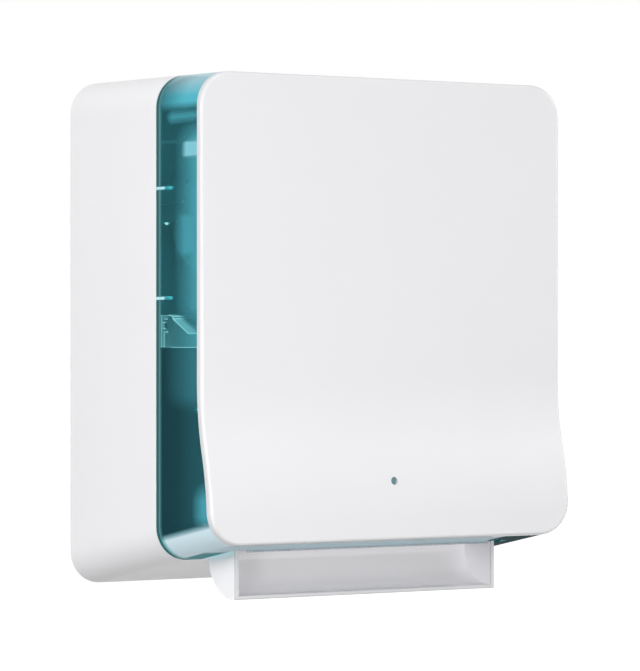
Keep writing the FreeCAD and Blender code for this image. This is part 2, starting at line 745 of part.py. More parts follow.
def hinge_arms():
    arms = []
    for centre in hinge_places():
        left, right = centre - HINGE_ARM_WIDTH / 2, centre + HINGE_ARM_WIDTH / 2
        knuckle = rod_x(left, right, HINGE_DEPTH, HINGE_Z, HINGE_KNUCKLE_R)
        low = HINGE_Z - HINGE_KNUCKLE_R
        crown = [(HINGE_DEPTH, top_z(HINGE_DEPTH) - SLIP_FIT),
                 (CASING_DEPTH, top_z(CASING_DEPTH) - SLIP_FIT),
                 (CASING_DEPTH, HINGE_PLATE_Z), (HINGE_DEPTH, low)]
        step = HINGE_PAD_DEPTH - LOOSE_FIT
        neck = [(CASING_DEPTH - HINGE_ARM_THICKNESS, HINGE_PLATE_Z),
                (CASING_DEPTH - HINGE_ARM_THICKNESS, top_z(step) - HOOD_WALL - LOOSE_FIT),
                (step, top_z(step) - HOOD_WALL - LOOSE_FIT), (step, HINGE_PLATE_TOP),
                (HINGE_PAD_DEPTH + HINGE_PAD_LENGTH, HINGE_PLATE_TOP),
                (HINGE_PAD_DEPTH + HINGE_PAD_LENGTH, HINGE_PLATE_Z)]
        arm = join(knuckle, side_profile(crown, left, right), side_profile(neck, left, right))
        pin_hole = rod_x(left - OVERRUN, right + OVERRUN, HINGE_DEPTH, HINGE_Z, HINGE_PIN_R + PIN_CLEARANCE)
        arms.append(cut(arm, pin_hole))
    shank_holes = [rod_z(x, depth, HINGE_PLATE_Z - OVERRUN, HINGE_PLATE_TOP + OVERRUN, SCREW_R)
                   for x, depth in hinge_screw_places()]
    keep("hinge_arms", cut(group(*arms), *shank_holes))
    fasten("cover_screws", *[screw(at(x, depth, HINGE_PLATE_Z), Vector(0, 0, 1))
                             for x, depth in hinge_screw_places()])


def strike_screw_heights():
    return (STRIKE_Z - STRIKE_HEIGHT / 4, STRIKE_Z + STRIKE_HEIGHT / 4)


def lock_strike():
    low, high = STRIKE_Z - STRIKE_HEIGHT / 2, STRIKE_Z + STRIKE_HEIGHT / 2
    lip_back = LOCK_DEPTH - LOCK_CAM_WIDTH / 2 - STRIKE_THICKNESS - STRIKE_CAM_GAP
    plate_x = STRIKE_PAD_X - STRIKE_THICKNESS
    foot = box(plate_x, STRIKE_PAD_X, STRIKE_PAD_DEPTH, STRIKE_PAD_DEPTH + STRIKE_PAD_LENGTH, low, high)
    crank = box(STRIKE_X, STRIKE_PAD_X, STRIKE_PAD_DEPTH, STRIKE_PAD_DEPTH + STRIKE_THICKNESS, low, high)
    arm = box(STRIKE_X, STRIKE_X + STRIKE_THICKNESS, lip_back, STRIKE_PAD_DEPTH + STRIKE_THICKNESS, low, high)
    lip = box(STRIKE_X, STRIKE_X + STRIKE_LIP_LENGTH, lip_back, lip_back + STRIKE_THICKNESS, low, high)
    holes = [rod_x(plate_x - OVERRUN, STRIKE_PAD_X + OVERRUN, STRIKE_SCREW_DEPTH, z, SMALL_SCREW_R)
             for z in strike_screw_heights()]
    keep("lock_strike", cut(join(foot, crank, arm, lip), *holes))
    fasten("cover_screws", *[small_screw(at(plate_x, STRIKE_SCREW_DEPTH, z), X_AXIS)
                             for z in strike_screw_heights()])


def cover_magnet():
    back = face_depth(SENSOR_Z, HOOD_INNER) - 3 * MAGNET_H
    magnet = rod_out(MAGNET_X, SENSOR_Z, back, back + MAGNET_H, MAGNET_R)
    keep("cover_magnet", magnet.makeChamfer(MAGNET_CHAMFER, [magnet.Edges[0], magnet.Edges[2]]))


# Lock in the right wall: a fixed barrel with its nut, and the plug that a key turns with the cam on its end
def lock():
    barrel = rod_x(LOCK_INNER_X, LOCK_FLANGE_X, LOCK_DEPTH, LOCK_Z, LOCK_BARREL_R)
    flange = rod_x(LOCK_FLANGE_X, LOCK_FLANGE_X + LOCK_FLANGE_H, LOCK_DEPTH, LOCK_Z, LOCK_FLANGE_R)
    bore = rod_x(LOCK_INNER_X - OVERRUN, WALL_WIDTH, LOCK_DEPTH, LOCK_Z, LOCK_PLUG_R + SHAFT_CLEARANCE)
    keep("lock_barrel", cut(join(barrel, flange), bore))
    nut_outer = side_x(LOCK_DEPTH + LOCK_NUT_R) - CASING_WALL
    corners = []
    for number in range(6):
        angle = math.pi / 3 * number
        corners.append((LOCK_DEPTH + LOCK_NUT_R * math.cos(angle), LOCK_Z + LOCK_NUT_R * math.sin(angle)))
    nut = side_profile(corners, nut_outer - LOCK_NUT_H, nut_outer)
    keep("lock_nut", cut(nut, rod_x(0, WALL_WIDTH, LOCK_DEPTH, LOCK_Z, LOCK_BARREL_R)))
    face = LOCK_FLANGE_X + LOCK_FLANGE_H
    plug = rod_x(LOCK_INNER_X, face, LOCK_DEPTH, LOCK_Z, LOCK_PLUG_R)
    half = LOCK_TANG / 2
    key_half = KEY_SLOT_WIDTH / 2
    cam_back = LOCK_INNER_X - SLIP_FIT - LOCK_CAM_THICKNESS
    tang = box(cam_back - LOCK_TANG_END, LOCK_INNER_X, LOCK_DEPTH - half, LOCK_DEPTH + half,
               LOCK_Z - half, LOCK_Z + half)
    slot = box(face - KEY_SLOT_DEPTH, face + OVERRUN, LOCK_DEPTH - key_half, LOCK_DEPTH + key_half,
               LOCK_Z - KEY_SLOT_HEIGHT / 2, LOCK_Z + KEY_SLOT_HEIGHT / 2)
    keep("lock_plug", cut(join(plug, tang), slot))
    cam_front = LOCK_INNER_X - SLIP_FIT
    tip_depth = LOCK_DEPTH + LOCK_CAM_LENGTH - LOCK_CAM_WIDTH / 2
    width = LOCK_CAM_WIDTH / 2
    blade = box(cam_back, cam_front, LOCK_DEPTH, tip_depth, LOCK_Z - width, LOCK_Z + width)
    hub = rod_x(cam_back, cam_front, LOCK_DEPTH, LOCK_Z, width)
    tip = rod_x(cam_back, cam_front, tip_depth, LOCK_Z, width)
    hole = box(cam_back - OVERRUN, cam_front + OVERRUN, LOCK_DEPTH - half, LOCK_DEPTH + half,
               LOCK_Z - half, LOCK_Z + half)
    keep("lock_cam", cut(join(blade, hub, tip), hole))


# Feed unit frame: a back plate with its shelf, two side plates and a front beam, all black plastic
def frame_block_places():
    return ((FRAME_FRONT + BLOCK_SIZE / 2, FRAME_BACK_BOTTOM_Z + BLOCK_SIZE / 2 + BLOCK_RISE),
            (SHELF_FRONT - BLOCK_SIZE, SHELF_Z - FRAME_WALL - BLOCK_SIZE / 2))


def standoff_places():
    left, right = ELECTRONICS_LEFT + 2 * BOARD_MARGIN, ELECTRONICS_RIGHT - 2 * BOARD_MARGIN
    depths = (BOARD_BACK + BOARD_MARGIN, BOARD_FRONT - BOARD_MARGIN)
    return [(x, depth) for x in (left, right) for depth in depths]


def frame_back():
    back = box(-PLATE_INNER_X, PLATE_INNER_X, FRAME_BACK_DEPTH, FRAME_FRONT, FRAME_BACK_BOTTOM_Z, SHELF_Z)
    shelf = box(-PLATE_INNER_X, PLATE_INNER_X, FRAME_BACK_DEPTH, SHELF_FRONT, SHELF_Z - FRAME_WALL, SHELF_Z)
    blocks = []
    half = BLOCK_SIZE / 2
    for depth, z in frame_block_places():
        block = box(PLATE_INNER_X - BLOCK_SIZE, PLATE_INNER_X, depth - half, depth + half, z - half, z + half)
        blocks += [block, mirrored(block)]
    gussets = []
    for x in (-PLATE_INNER_X / 2, 0.0, PLATE_INNER_X / 2):
        top = SHELF_Z - FRAME_WALL
        corner = [(FRAME_FRONT, top), (FRAME_FRONT + GUSSET_SIZE, top), (FRAME_FRONT, top - GUSSET_SIZE)]
        gussets.append(side_profile(corner, x - FRAME_WALL / 2, x + FRAME_WALL / 2))
    posts = [rod_z(x, depth, SHELF_Z, BOARD_Z, STANDOFF_R) for x, depth in standoff_places()]
    frame = join(back, shelf, *blocks, *gussets, *posts)
    holes = [rod_z(x, depth, SHELF_Z, BOARD_Z + OVERRUN, SMALL_SCREW_R) for x, depth in standoff_places()]
    for x in (-FRAME_BOSS_X, FRAME_BOSS_X):
        holes += [rod_out(x, z, 0, FRAME_FRONT + OVERRUN, SCREW_R) for z in FRAME_BOSS_Z]
    for x in (-WALL_HOLE_X, WALL_HOLE_X):
        holes.append(rod_out(x, -WALL_HOLE_Z, 0, FRAME_FRONT + OVERRUN, WALL_SCREW_ACCESS_R))
    pilot_x = PLATE_OUTER_X - SCREW_LENGTH
    for depth, z in frame_block_places():
        pilot = rod_x(pilot_x, PLATE_INNER_X + OVERRUN, depth, z, SCREW_R)
        holes += [pilot, mirrored(pilot)]
    keep("frame_back", cut(frame, *holes))
    seats = [at(x, FRAME_FRONT, z) for x in (-FRAME_BOSS_X, FRAME_BOSS_X) for z in FRAME_BOSS_Z]
    fasten("frame_screws", *[screw(seat, Vector(0, 1, 0)) for seat in seats])


def gear_centres():
    spread = GEAR_MODULE * (DRIVE_TEETH + IDLER_TEETH) / 2 + GEAR_CENTRE_CLEARANCE
    angle = math.radians(IDLER_ANGLE)
    idler = (DRIVE_DEPTH + spread * math.cos(angle), DRIVE_Z + spread * math.sin(angle))
    spread = GEAR_MODULE * (IDLER_TEETH + PINION_TEETH) / 2 + GEAR_CENTRE_CLEARANCE
    angle = math.radians(PINION_ANGLE)
    pinion = (idler[0] + spread * math.cos(angle), idler[1] + spread * math.sin(angle))
    return idler, pinion


IDLER, PINION = gear_centres()
GEAR_SHAFT_END = GEAR_X + GEAR_WIDTH + GEAR_SHAFT_REACH
PRESSURE_DEPTH = DRIVE_DEPTH + DRIVE_ROLLER_R + ROLLER_GAP + PRESSURE_ROLLER_R
BEAM_FRONT = PLATE_FRONT + BEAM_THICKNESS
SHROUD_FRONT = WINDOW_SEAT - WINDOW_FLANGE_H - SHROUD_GAP


def motor_screw_places():
    radius = MOTOR_SCREW_RADIUS
    angles = [math.radians(90 + 120 * number) for number in range(3)]
    return [(PINION[0] + radius * math.cos(angle), PINION[1] + radius * math.sin(angle)) for angle in angles]


def beam_tab_screw():
    return (PLATE_FRONT - BEAM_TAB_LENGTH / 2, BEAM_TAB_Z)


def gear_cover_outline(grow=0.0):
    # a bag round the three gears: the drive gear's and the pinion's ends with straight sides between
    tip = GEAR_MODULE * (DRIVE_TEETH / 2 + OVERRUN) + LOOSE_FIT + grow
    middle = GEAR_MODULE * (IDLER_TEETH / 2 + OVERRUN) + LOOSE_FIT + grow
    small = GEAR_MODULE * (PINION_TEETH / 2 + OVERRUN) + 2 * LOOSE_FIT + grow
    return ((DRIVE_DEPTH, DRIVE_Z, tip), (IDLER[0], IDLER[1], middle), (PINION[0], PINION[1], small))


def gear_bag(x0, x1, grow=0.0):
    circles = gear_cover_outline(grow)
    solids = [rod_x(x0, x1, depth, z, radius) for depth, z, radius in circles]
    for (depth_a, z_a, r_a), (depth_b, z_b, r_b) in zip(circles, circles[1:]):
        spread = math.hypot(depth_b - depth_a, z_b - z_a)
        heading = math.atan2(z_b - z_a, depth_b - depth_a)
        lean = math.acos((r_a - r_b) / spread)
        corners = []
        for depth, z, radius, side in ((depth_a, z_a, r_a, 1), (depth_b, z_b, r_b, 1),
                                       (depth_b, z_b, r_b, -1), (depth_a, z_a, r_a, -1)):
            angle = heading + side * lean
            corners.append((depth + radius * math.cos(angle), z + radius * math.sin(angle)))
        solids.append(side_profile(corners, x0, x1))
    return join(*solids)


def gear_cover_ear_places():
    reach = SMALL_SCREW_HEAD_R + GEAR_COVER_WALL - GEAR_COVER_EAR_OVERLAP
    pinion_reach = gear_cover_outline(GEAR_COVER_WALL)[2][2] + reach
    idler_reach = gear_cover_outline(GEAR_COVER_WALL)[1][2] + reach
    return ((PINION[0] - pinion_reach, PINION[1]),
            (IDLER[0] + idler_reach * math.cos(GEAR_COVER_EAR_ANGLE),
             IDLER[1] + idler_reach * math.sin(GEAR_COVER_EAR_ANGLE)))


def side_plates():
    outline = [(FRAME_BACK_DEPTH + FRAME_WALL, FRAME_TOP_Z), (SHELF_FRONT, FRAME_TOP_Z),
               (SHELF_FRONT, PLATE_SHOULDER_Z), (PLATE_FRONT, PLATE_NOSE_Z), (PLATE_FRONT, PLATE_BOTTOM_Z),
               (PLATE_TOE_DEPTH, PLATE_BOTTOM_Z), (FRAME_BACK_DEPTH + FRAME_WALL, PLATE_HEEL_Z)]
    left, right = PLATE_INNER_X - OVERRUN, PLATE_OUTER_X + OVERRUN
    plate = side_profile(outline, PLATE_INNER_X, PLATE_OUTER_X)
    holes = [rod_x(left, right, depth, z, SCREW_R) for depth, z in frame_block_places()]
    holes += [rod_x(left, right, depth, TRAY_SCREW_Z, SMALL_SCREW_R) for depth in TRAY_SCREW_DEPTHS]
    holes.append(rod_x(left, right, *beam_tab_screw(), SMALL_SCREW_R))
    holes.append(rod_x(left, right, DRIVE_DEPTH, DRIVE_Z, BUSH_R))
    half_l, half_h = TONGUE_LENGTH / 2 + LOOSE_FIT, TONGUE_HEIGHT / 2
    holes.append(box(left, right, PRESSURE_DEPTH - half_l, PRESSURE_DEPTH + half_l,
                     DRIVE_Z - half_h, DRIVE_Z + half_h))
    plate = cut(plate, *holes)
    keep("side_plate_left", mirrored(plate))
    screw_places = motor_screw_places() + list(gear_cover_ear_places())
    gear_holes = [rod_x(left, right, depth, z, SMALL_SCREW_R) for depth, z in screw_places]
    gear_holes.append(rod_x(left, right, IDLER[0], IDLER[1], IDLER_PIN_R))
    gear_holes.append(rod_x(left, right, PINION[0], PINION[1], MOTOR_SHAFT_R + LOOSE_FIT))
    keep("side_plate_right", cut(plate, *gear_holes))
    screws = [screw(at(PLATE_OUTER_X, depth, z), Vector(-1, 0, 0)) for depth, z in frame_block_places()]
    fasten("frame_screws", *screws, *[mirrored(item) for item in screws])


def front_beam():
    web = box(-PLATE_OUTER_X, PLATE_OUTER_X, PLATE_FRONT, BEAM_FRONT, BEAM_BOTTOM_Z, BEAM_TOP_Z)
    ribs = [box(-PLATE_INNER_X, PLATE_INNER_X, PLATE_FRONT - FRAME_WALL, PLATE_FRONT, top - BEAM_RIB, top)
            for top in (BEAM_TOP_Z, BEAM_TAB_Z - BEAM_TAB_HEIGHT / 2 - BEAM_RIB)]
    tab = box(PLATE_INNER_X - FRAME_WALL, PLATE_INNER_X, PLATE_FRONT - BEAM_TAB_LENGTH, PLATE_FRONT,
              BEAM_TAB_Z - BEAM_TAB_HEIGHT / 2, BEAM_TAB_Z + BEAM_TAB_HEIGHT / 2)
    low, high = SENSOR_Z - SHROUD_HALF_Z, SENSOR_Z + SHROUD_HALF_Z
    shroud = box(-SHROUD_HALF_X, SHROUD_HALF_X, BEAM_FRONT, SHROUD_FRONT, low, high)
    depth, z = beam_tab_screw()
    tab_hole = rod_x(0, PLATE_INNER_X + OVERRUN, depth, z, SMALL_SCREW_R)
    wall = SHROUD_WALL
    inner = SHROUD_HALF_X - wall
    cavity = box(-inner, inner, BEAM_FRONT, SHROUD_FRONT - wall, low + wall, high + wall)
    diode_places = (-DIODE_SPACING / 2, DIODE_SPACING / 2)
    bores = [rod_out(x, SENSOR_Z, BEAM_FRONT, SHROUD_FRONT + OVERRUN, DIODE_R) for x in diode_places]
    tear_pilots = [rod_out(x, TEAR_SCREW_Z, PLATE_FRONT - OVERRUN, BEAM_FRONT + OVERRUN, SMALL_SCREW_R)
                   for x in TEAR_SCREW_X]
    slot_half = REED_HALF + REED_R
    reed_slot = box(MAGNET_X - slot_half, MAGNET_X + slot_half, BEAM_FRONT - REED_R, BEAM_FRONT + OVERRUN,
                    SENSOR_Z - wall, SENSOR_Z + wall)
    beam = join(web, *ribs, both_sides(tab), shroud)
    keep("front_beam", cut(beam, tab_hole, mirrored(tab_hole), cavity, *bores, *tear_pilots, reed_slot))
    beam_screw = small_screw(at(PLATE_OUTER_X, depth, z), Vector(-1, 0, 0))
    fasten("small_screws", beam_screw, mirrored(beam_screw))
    board = box(-inner, inner, BEAM_FRONT, BEAM_FRONT + BOARD_THICKNESS, low + wall, high)
    board_front = BEAM_FRONT + BOARD_THICKNESS
    diodes = []
    for x in diode_places:
        stem = rod_out(x, SENSOR_Z, board_front, SHROUD_FRONT - DIODE_R, DIODE_R)
        dome = Part.makeSphere(DIODE_R, at(x, SHROUD_FRONT - DIODE_R, SENSOR_Z))
        diodes.append(join(stem, dome))
    keep("sensor_board", board)
    reed = rod_x(MAGNET_X - REED_HALF, MAGNET_X + REED_HALF, BEAM_FRONT, SENSOR_Z, REED_R)
    keep("sensor_parts", group(*diodes, reed))


def tear_bar():
    top, root, pitch = TEAR_TOP_Z, TEAR_ROOT_Z, 2 * TEAR_HALF / TEAR_TEETH
    back = PLATE_FRONT - TEAR_THICKNESS
    corners = [at(-TEAR_HALF, back, top), at(-TEAR_HALF, back, root)]
    for number in range(TEAR_TEETH):
        x = -TEAR_HALF + pitch * number
        corners += [at(x + pitch / 2, back, root - TEAR_TOOTH), at(x + pitch, back, root)]
    corners.append(at(TEAR_HALF, back, top))
    blade = Part.Face(Part.makePolygon(corners + corners[:1])).extrude(Vector(0, -TEAR_THICKNESS, 0))
    holes = [rod_out(x, TEAR_SCREW_Z, back - OVERRUN, PLATE_FRONT + OVERRUN, SMALL_SCREW_R)
             for x in TEAR_SCREW_X]
    keep("tear_bar", cut(blade, *holes))
    length = TEAR_THICKNESS + BEAM_THICKNESS - TEAR_SCREW_COVER
    fasten("small_screws", *[small_screw(at(x, back, TEAR_SCREW_Z), Vector(0, -1, 0), length)
                             for x in TEAR_SCREW_X])


# Outlet tray: a white scoop under the rollers, open to the front, that the towel end hangs into
def tray_outline(wall=0.0):
    # points of the scoop's profile from its top at the back, round the curve, to its front edge
    radius = TRAY_CURVE_R - wall
    centre_z = TRAY_FLOOR_Z + TRAY_CURVE_R
    back = TRAY_BACK + wall
    back_z = centre_z - math.sqrt(radius ** 2 - (TRAY_CURVE_DEPTH - back) ** 2)
    start = math.atan2(back_z - centre_z, back - TRAY_CURVE_DEPTH)
    middle = (start + 2 * math.pi + 1.5 * math.pi) / 2
    arc_middle = (TRAY_CURVE_DEPTH + radius * math.cos(middle), centre_z + radius * math.sin(middle))
    return (back, back_z), arc_middle, (TRAY_CURVE_DEPTH, centre_z - radius)


def tray_body(half, wall, top_z_back, top_z_front):
    back, middle, low = tray_outline(wall)
    front = TRAY_FRONT + (OVERRUN if wall else 0.0)
    points = [at(-half, depth, z) for depth, z in (back, middle, low)]
    front_low, front_top = at(-half, front, low[1]), at(-half, front, top_z_front)
    back_top = at(-half, back[0], top_z_back)
    corners = [points[2], front_low, front_top, back_top, points[0]]
    edges = [Part.Arc(*points).toShape()]
    edges += [Part.makeLine(start, end) for start, end in zip(corners, corners[1:])]
    return Part.Face(Part.Wire(edges)).extrude(Vector(2 * half, 0, 0))


def outlet_tray():
    outer_half, inner_half = PLATE_INNER_X, PLATE_INNER_X - TRAY_WALL
    body = tray_body(outer_half, 0.0, TRAY_EAR_Z, TRAY_EAR_Z)
    hollow = tray_body(inner_half, TRAY_WALL, TRAY_EAR_Z + OVERRUN, TRAY_EAR_Z + OVERRUN)
    above_back = box(-inner_half, inner_half, TRAY_BACK - OVERRUN, TRAY_FRONT + OVERRUN,
                     TRAY_BACK_TOP_Z, TRAY_EAR_Z + OVERRUN)
    shell = cut(body, hollow, above_back)
    ear = box(inner_half, outer_half, TRAY_EAR_BACK, TRAY_BACK, TRAY_BACK_TOP_Z - TRAY_WALL, TRAY_EAR_Z)
    flange = box(-outer_half, outer_half, TRAY_EAR_BACK, TRAY_BACK + TRAY_WALL, TRAY_BACK_TOP_Z - TRAY_WALL,
                 TRAY_BACK_TOP_Z)
    shell = join(shell, both_sides(ear), flange)
    lips = []
    for edge in shell.Edges:
        ends = edge.BoundBox
        at_front = max(abs(-ends.YMin - TRAY_FRONT), abs(-ends.YMax - TRAY_FRONT)) < SAME_PLACE
        if at_front and ends.ZMax < TRAY_FLOOR_Z + 2 * TRAY_WALL and ends.XLength > outer_half:
            lips.append(edge)
    shell = shell.makeFillet(TRAY_LIP_ROUND, lips)
    holes = [rod_x(inner_half - OVERRUN, outer_half + OVERRUN, depth, TRAY_SCREW_Z, SMALL_SCREW_R)
             for depth in TRAY_SCREW_DEPTHS]
    keep("outlet_tray", cut(shell, *holes, *[mirrored(hole) for hole in holes]))
    screws = [small_screw(at(PLATE_OUTER_X, depth, TRAY_SCREW_Z), Vector(-1, 0, 0))
              for depth in TRAY_SCREW_DEPTHS]
    fasten("small_screws", *screws, *[mirrored(item) for item in screws])


# Rollers: the drive roller pulls the towel, the sprung roller in front presses it on
def roller_spans():
    length = (2 * ROLLER_HALF - (ROLLER_SEGMENTS - 1) * ROLLER_SEGMENT_GAP) / ROLLER_SEGMENTS
    starts = [-ROLLER_HALF + number * (length + ROLLER_SEGMENT_GAP) for number in range(ROLLER_SEGMENTS)]
    return [(start, start + length) for start in starts]


def ring_x(x0, x1, depth, z, radius, bore):
    return cut(rod_x(x0, x1, depth, z, radius), rod_x(x0 - OVERRUN, x1 + OVERRUN, depth, z, bore))


def sleeve(x0, x1, depth, z, radius, bore):
    ring = ring_x(x0, x1, depth, z, radius, bore)
    rims = [edge for edge in ring.Edges if edge.Closed and abs(edge.Curve.Radius - radius) < SAME_PLACE]
    return ring.makeChamfer(ROLLER_CHAMFER, rims)


def drive_roller():
    left = -PLATE_OUTER_X - SHAFT_END_GAP
    shaft = rod_x(left - SHAFT_END_LENGTH, GEAR_SHAFT_END, DRIVE_DEPTH, DRIVE_Z, DRIVE_SHAFT_R)
    collar = rod_x(left - SHAFT_COLLAR, left, DRIVE_DEPTH, DRIVE_Z, BUSH_R)
    keep("drive_shaft", join(shaft, collar))
    half = ROLLER_HALF + CORE_OVERHANG
    keep("drive_core", ring_x(-half, half, DRIVE_DEPTH, DRIVE_Z, DRIVE_CORE_R, DRIVE_SHAFT_R))
    sleeves = [sleeve(*span, DRIVE_DEPTH, DRIVE_Z, DRIVE_ROLLER_R, DRIVE_CORE_R) for span in roller_spans()]
    keep("drive_sleeves", group(*sleeves))
    bush = join(rod_x(PLATE_INNER_X, PLATE_OUTER_X, DRIVE_DEPTH, DRIVE_Z, BUSH_R),
                rod_x(PLATE_INNER_X - BUSH_FLANGE_H, PLATE_INNER_X, DRIVE_DEPTH, DRIVE_Z, BUSH_FLANGE_R))
    bush = cut(bush, rod_x(0, 2 * PLATE_OUTER_X, DRIVE_DEPTH, DRIVE_Z, DRIVE_SHAFT_R + SHAFT_CLEARANCE))
    keep("drive_bushes", both_sides(bush))


def pressure_roller():
    half = PLATE_INNER_X - SHAFT_END_GAP
    keep("pressure_shaft", rod_x(-half, half, PRESSURE_DEPTH, DRIVE_Z, PRESSURE_SHAFT_R))
    sleeves = [sleeve(*span, PRESSURE_DEPTH, DRIVE_Z, PRESSURE_ROLLER_R, PRESSURE_SHAFT_R)
               for span in roller_spans()]
    keep("pressure_sleeves", group(*sleeves))
    inner = PLATE_INNER_X - BLOCK_WIDTH
    half_l, half_h = BLOCK_LENGTH / 2, BLOCK_HEIGHT / 2
    block = box(inner, PLATE_INNER_X, PRESSURE_DEPTH - half_l, PRESSURE_DEPTH + half_l,
                DRIVE_Z - half_h, DRIVE_Z + half_h)
    tongue_l, tongue_h = TONGUE_LENGTH / 2, TONGUE_HEIGHT / 2
    tongue = box(PLATE_INNER_X, PLATE_OUTER_X, PRESSURE_DEPTH - tongue_l, PRESSURE_DEPTH + tongue_l,
                 DRIVE_Z - tongue_h, DRIVE_Z + tongue_h)
    bore = rod_x(0, PLATE_INNER_X, PRESSURE_DEPTH, DRIVE_Z, PRESSURE_SHAFT_R + SHAFT_CLEARANCE)
    keep("pressure_blocks", both_sides(cut(join(block, tongue), bore)))
    spring_x = PLATE_INNER_X - BLOCK_WIDTH / 2 - PRESSURE_SPRING_R / 3
    seat = PRESSURE_DEPTH + half_l
    springs = []
    for x in (-spring_x, spring_x):
        spring = coil_spring(PRESSURE_SPRING_R, PRESSURE_SPRING_TURNS, PLATE_FRONT - seat, SPRING_WIRE_R)
        springs.append(place_along(spring, at(x, seat, DRIVE_Z), Vector(0, -1, 0)))
    keep("pressure_springs", group(*springs))


# Gears with involute flanks
def flank_point(base_r, radius, lead):
    # point of an involute at a radius, turned back by lead
    pressure = math.acos(base_r / radius)
    angle = math.tan(pressure) - pressure - lead
    return radius, angle


def spur_gear(teeth, width, bore, turn=0.0):
    pitch_r = GEAR_MODULE * teeth / 2
    pitch_pressure = math.radians(PRESSURE_ANGLE)
    base_r = pitch_r * math.cos(pitch_pressure)
    tip_r = pitch_r + GEAR_MODULE
    root_r = pitch_r - ROOT_DEPTH * GEAR_MODULE
    start_r = max(root_r, base_r) + FLANK_START
    half_tooth = (math.pi / 2 * GEAR_MODULE - GEAR_BACKLASH) / 2 / pitch_r
    lead = math.tan(pitch_pressure) - pitch_pressure + half_tooth

    def polar(radius, angle):
        return Vector(radius * math.cos(angle), radius * math.sin(angle), 0)

    edges = []
    first = None
    last = None
    for tooth in range(teeth):
        middle = turn + 2 * math.pi * tooth / teeth
        radii = (start_r, (start_r + tip_r) / 2, tip_r)
        flank = [flank_point(base_r, radius, lead) for radius in radii]
        rising = [polar(radius, middle + angle) for radius, angle in flank]
        falling = [polar(radius, middle - angle) for radius, angle in reversed(flank)]
        foot_in = polar(root_r, middle + flank[0][1])
        foot_out = polar(root_r, middle - flank[0][1])
        if last is None:
            first = foot_in
        else:
            between = polar(root_r, middle - math.pi / teeth)
            edges.append(Part.Arc(last, between, foot_in).toShape())
        edges.append(Part.makeLine(foot_in, rising[0]))
        edges.append(Part.Arc(*rising).toShape())
        edges.append(Part.Arc(rising[2], polar(tip_r, middle), falling[0]).toShape())
        edges.append(Part.Arc(*falling).toShape())
        edges.append(Part.makeLine(falling[2], foot_out))
        last = foot_out
    edges.append(Part.Arc(last, polar(root_r, turn - math.pi / teeth), first).toShape())
    gear = Part.Face(Part.Wire(edges)).extrude(Vector(0, 0, width))
    return gear.cut(Part.makeCylinder(bore, width + 2 * OVERRUN, Vector(0, 0, -OVERRUN)))


def gear_on_x(teeth, depth, z, bore, turn):
    # the gear's own X axis points along depth and its Y axis up
    gear = spur_gear(teeth, GEAR_WIDTH, bore, turn)
    end = GEAR_X + GEAR_WIDTH
    gear.Placement = Placement(FreeCAD.Matrix(0, 0, -1, end, -1, 0, 0, -depth, 0, 1, 0, z, 0, 0, 0, 1))
    return gear


def gear_train():
    idler_heading = math.radians(IDLER_ANGLE)
    pinion_heading = math.radians(PINION_ANGLE)
    drive_turn = idler_heading
    idler_turn = idler_heading + math.pi + math.pi / IDLER_TEETH
    idler_phase = (pinion_heading - idler_turn) / (2 * math.pi / IDLER_TEETH)
    pinion_turn = pinion_heading + math.pi + (idler_phase % 1 + 0.5) * 2 * math.pi / PINION_TEETH
    keep("drive_gear", gear_on_x(DRIVE_TEETH, DRIVE_DEPTH, DRIVE_Z, DRIVE_SHAFT_R, drive_turn))
    keep("idler_gear", gear_on_x(IDLER_TEETH, IDLER[0], IDLER[1], IDLER_PIN_R + PIN_CLEARANCE, idler_turn))
    keep("pinion", gear_on_x(PINION_TEETH, PINION[0], PINION[1], MOTOR_SHAFT_R, pinion_turn))
    pin_end = GEAR_X + GEAR_WIDTH + LOOSE_FIT
    pin = rod_x(PLATE_INNER_X, pin_end + IDLER_PIN_HEAD, IDLER[0], IDLER[1], IDLER_PIN_R)
    head = rod_x(pin_end, pin_end + IDLER_PIN_HEAD, IDLER[0], IDLER[1], 2 * IDLER_PIN_R)
    spacer = rod_x(PLATE_OUTER_X, GEAR_X - LOOSE_FIT, IDLER[0], IDLER[1], 2 * IDLER_PIN_R)
    keep("idler_pin", join(pin, head, spacer))


def gear_motor():
    gearbox_end = PLATE_INNER_X - MOTOR_GEARBOX_LENGTH
    gearbox = rod_x(gearbox_end, PLATE_INNER_X, PINION[0], PINION[1], MOTOR_R)
    motor_end = PLATE_INNER_X - MOTOR_LENGTH
    can = rod_x(motor_end, gearbox_end, PINION[0], PINION[1], MOTOR_CAN_R)
    tail = rod_x(motor_end - MOTOR_TAIL, gearbox_end, PINION[0], PINION[1], MOTOR_CAN_R / 3)
    half, wide = MOTOR_LUG_THICKNESS / 2, MOTOR_LUG_WIDTH / 2
    lugs = [box(motor_end - MOTOR_LUG_LENGTH, motor_end, depth - half, depth + half,
                PINION[1] - wide, PINION[1] + wide)
            for depth in (PINION[0] - MOTOR_LUG_PLACE, PINION[0] + MOTOR_LUG_PLACE)]
    body = join(gearbox, can, tail, *lugs)
    holes = [rod_x(PLATE_INNER_X - SMALL_SCREW_LENGTH, PLATE_INNER_X + OVERRUN, depth, z, SMALL_SCREW_R)
             for depth, z in motor_screw_places()]
    shaft_start = PLATE_INNER_X - MOTOR_GEARBOX_LENGTH / 2
    holes.append(rod_x(shaft_start, PLATE_INNER_X + OVERRUN, *PINION, MOTOR_SHAFT_R + SHAFT_CLEARANCE))
    keep("gear_motor", cut(body, *holes))
    keep("motor_shaft", rod_x(shaft_start + SHAFT_END_GAP, GEAR_SHAFT_END, *PINION, MOTOR_SHAFT_R))
    fasten("small_screws", *[small_screw(at(PLATE_OUTER_X, depth, z), Vector(-1, 0, 0))
                             for depth, z in motor_screw_places()])


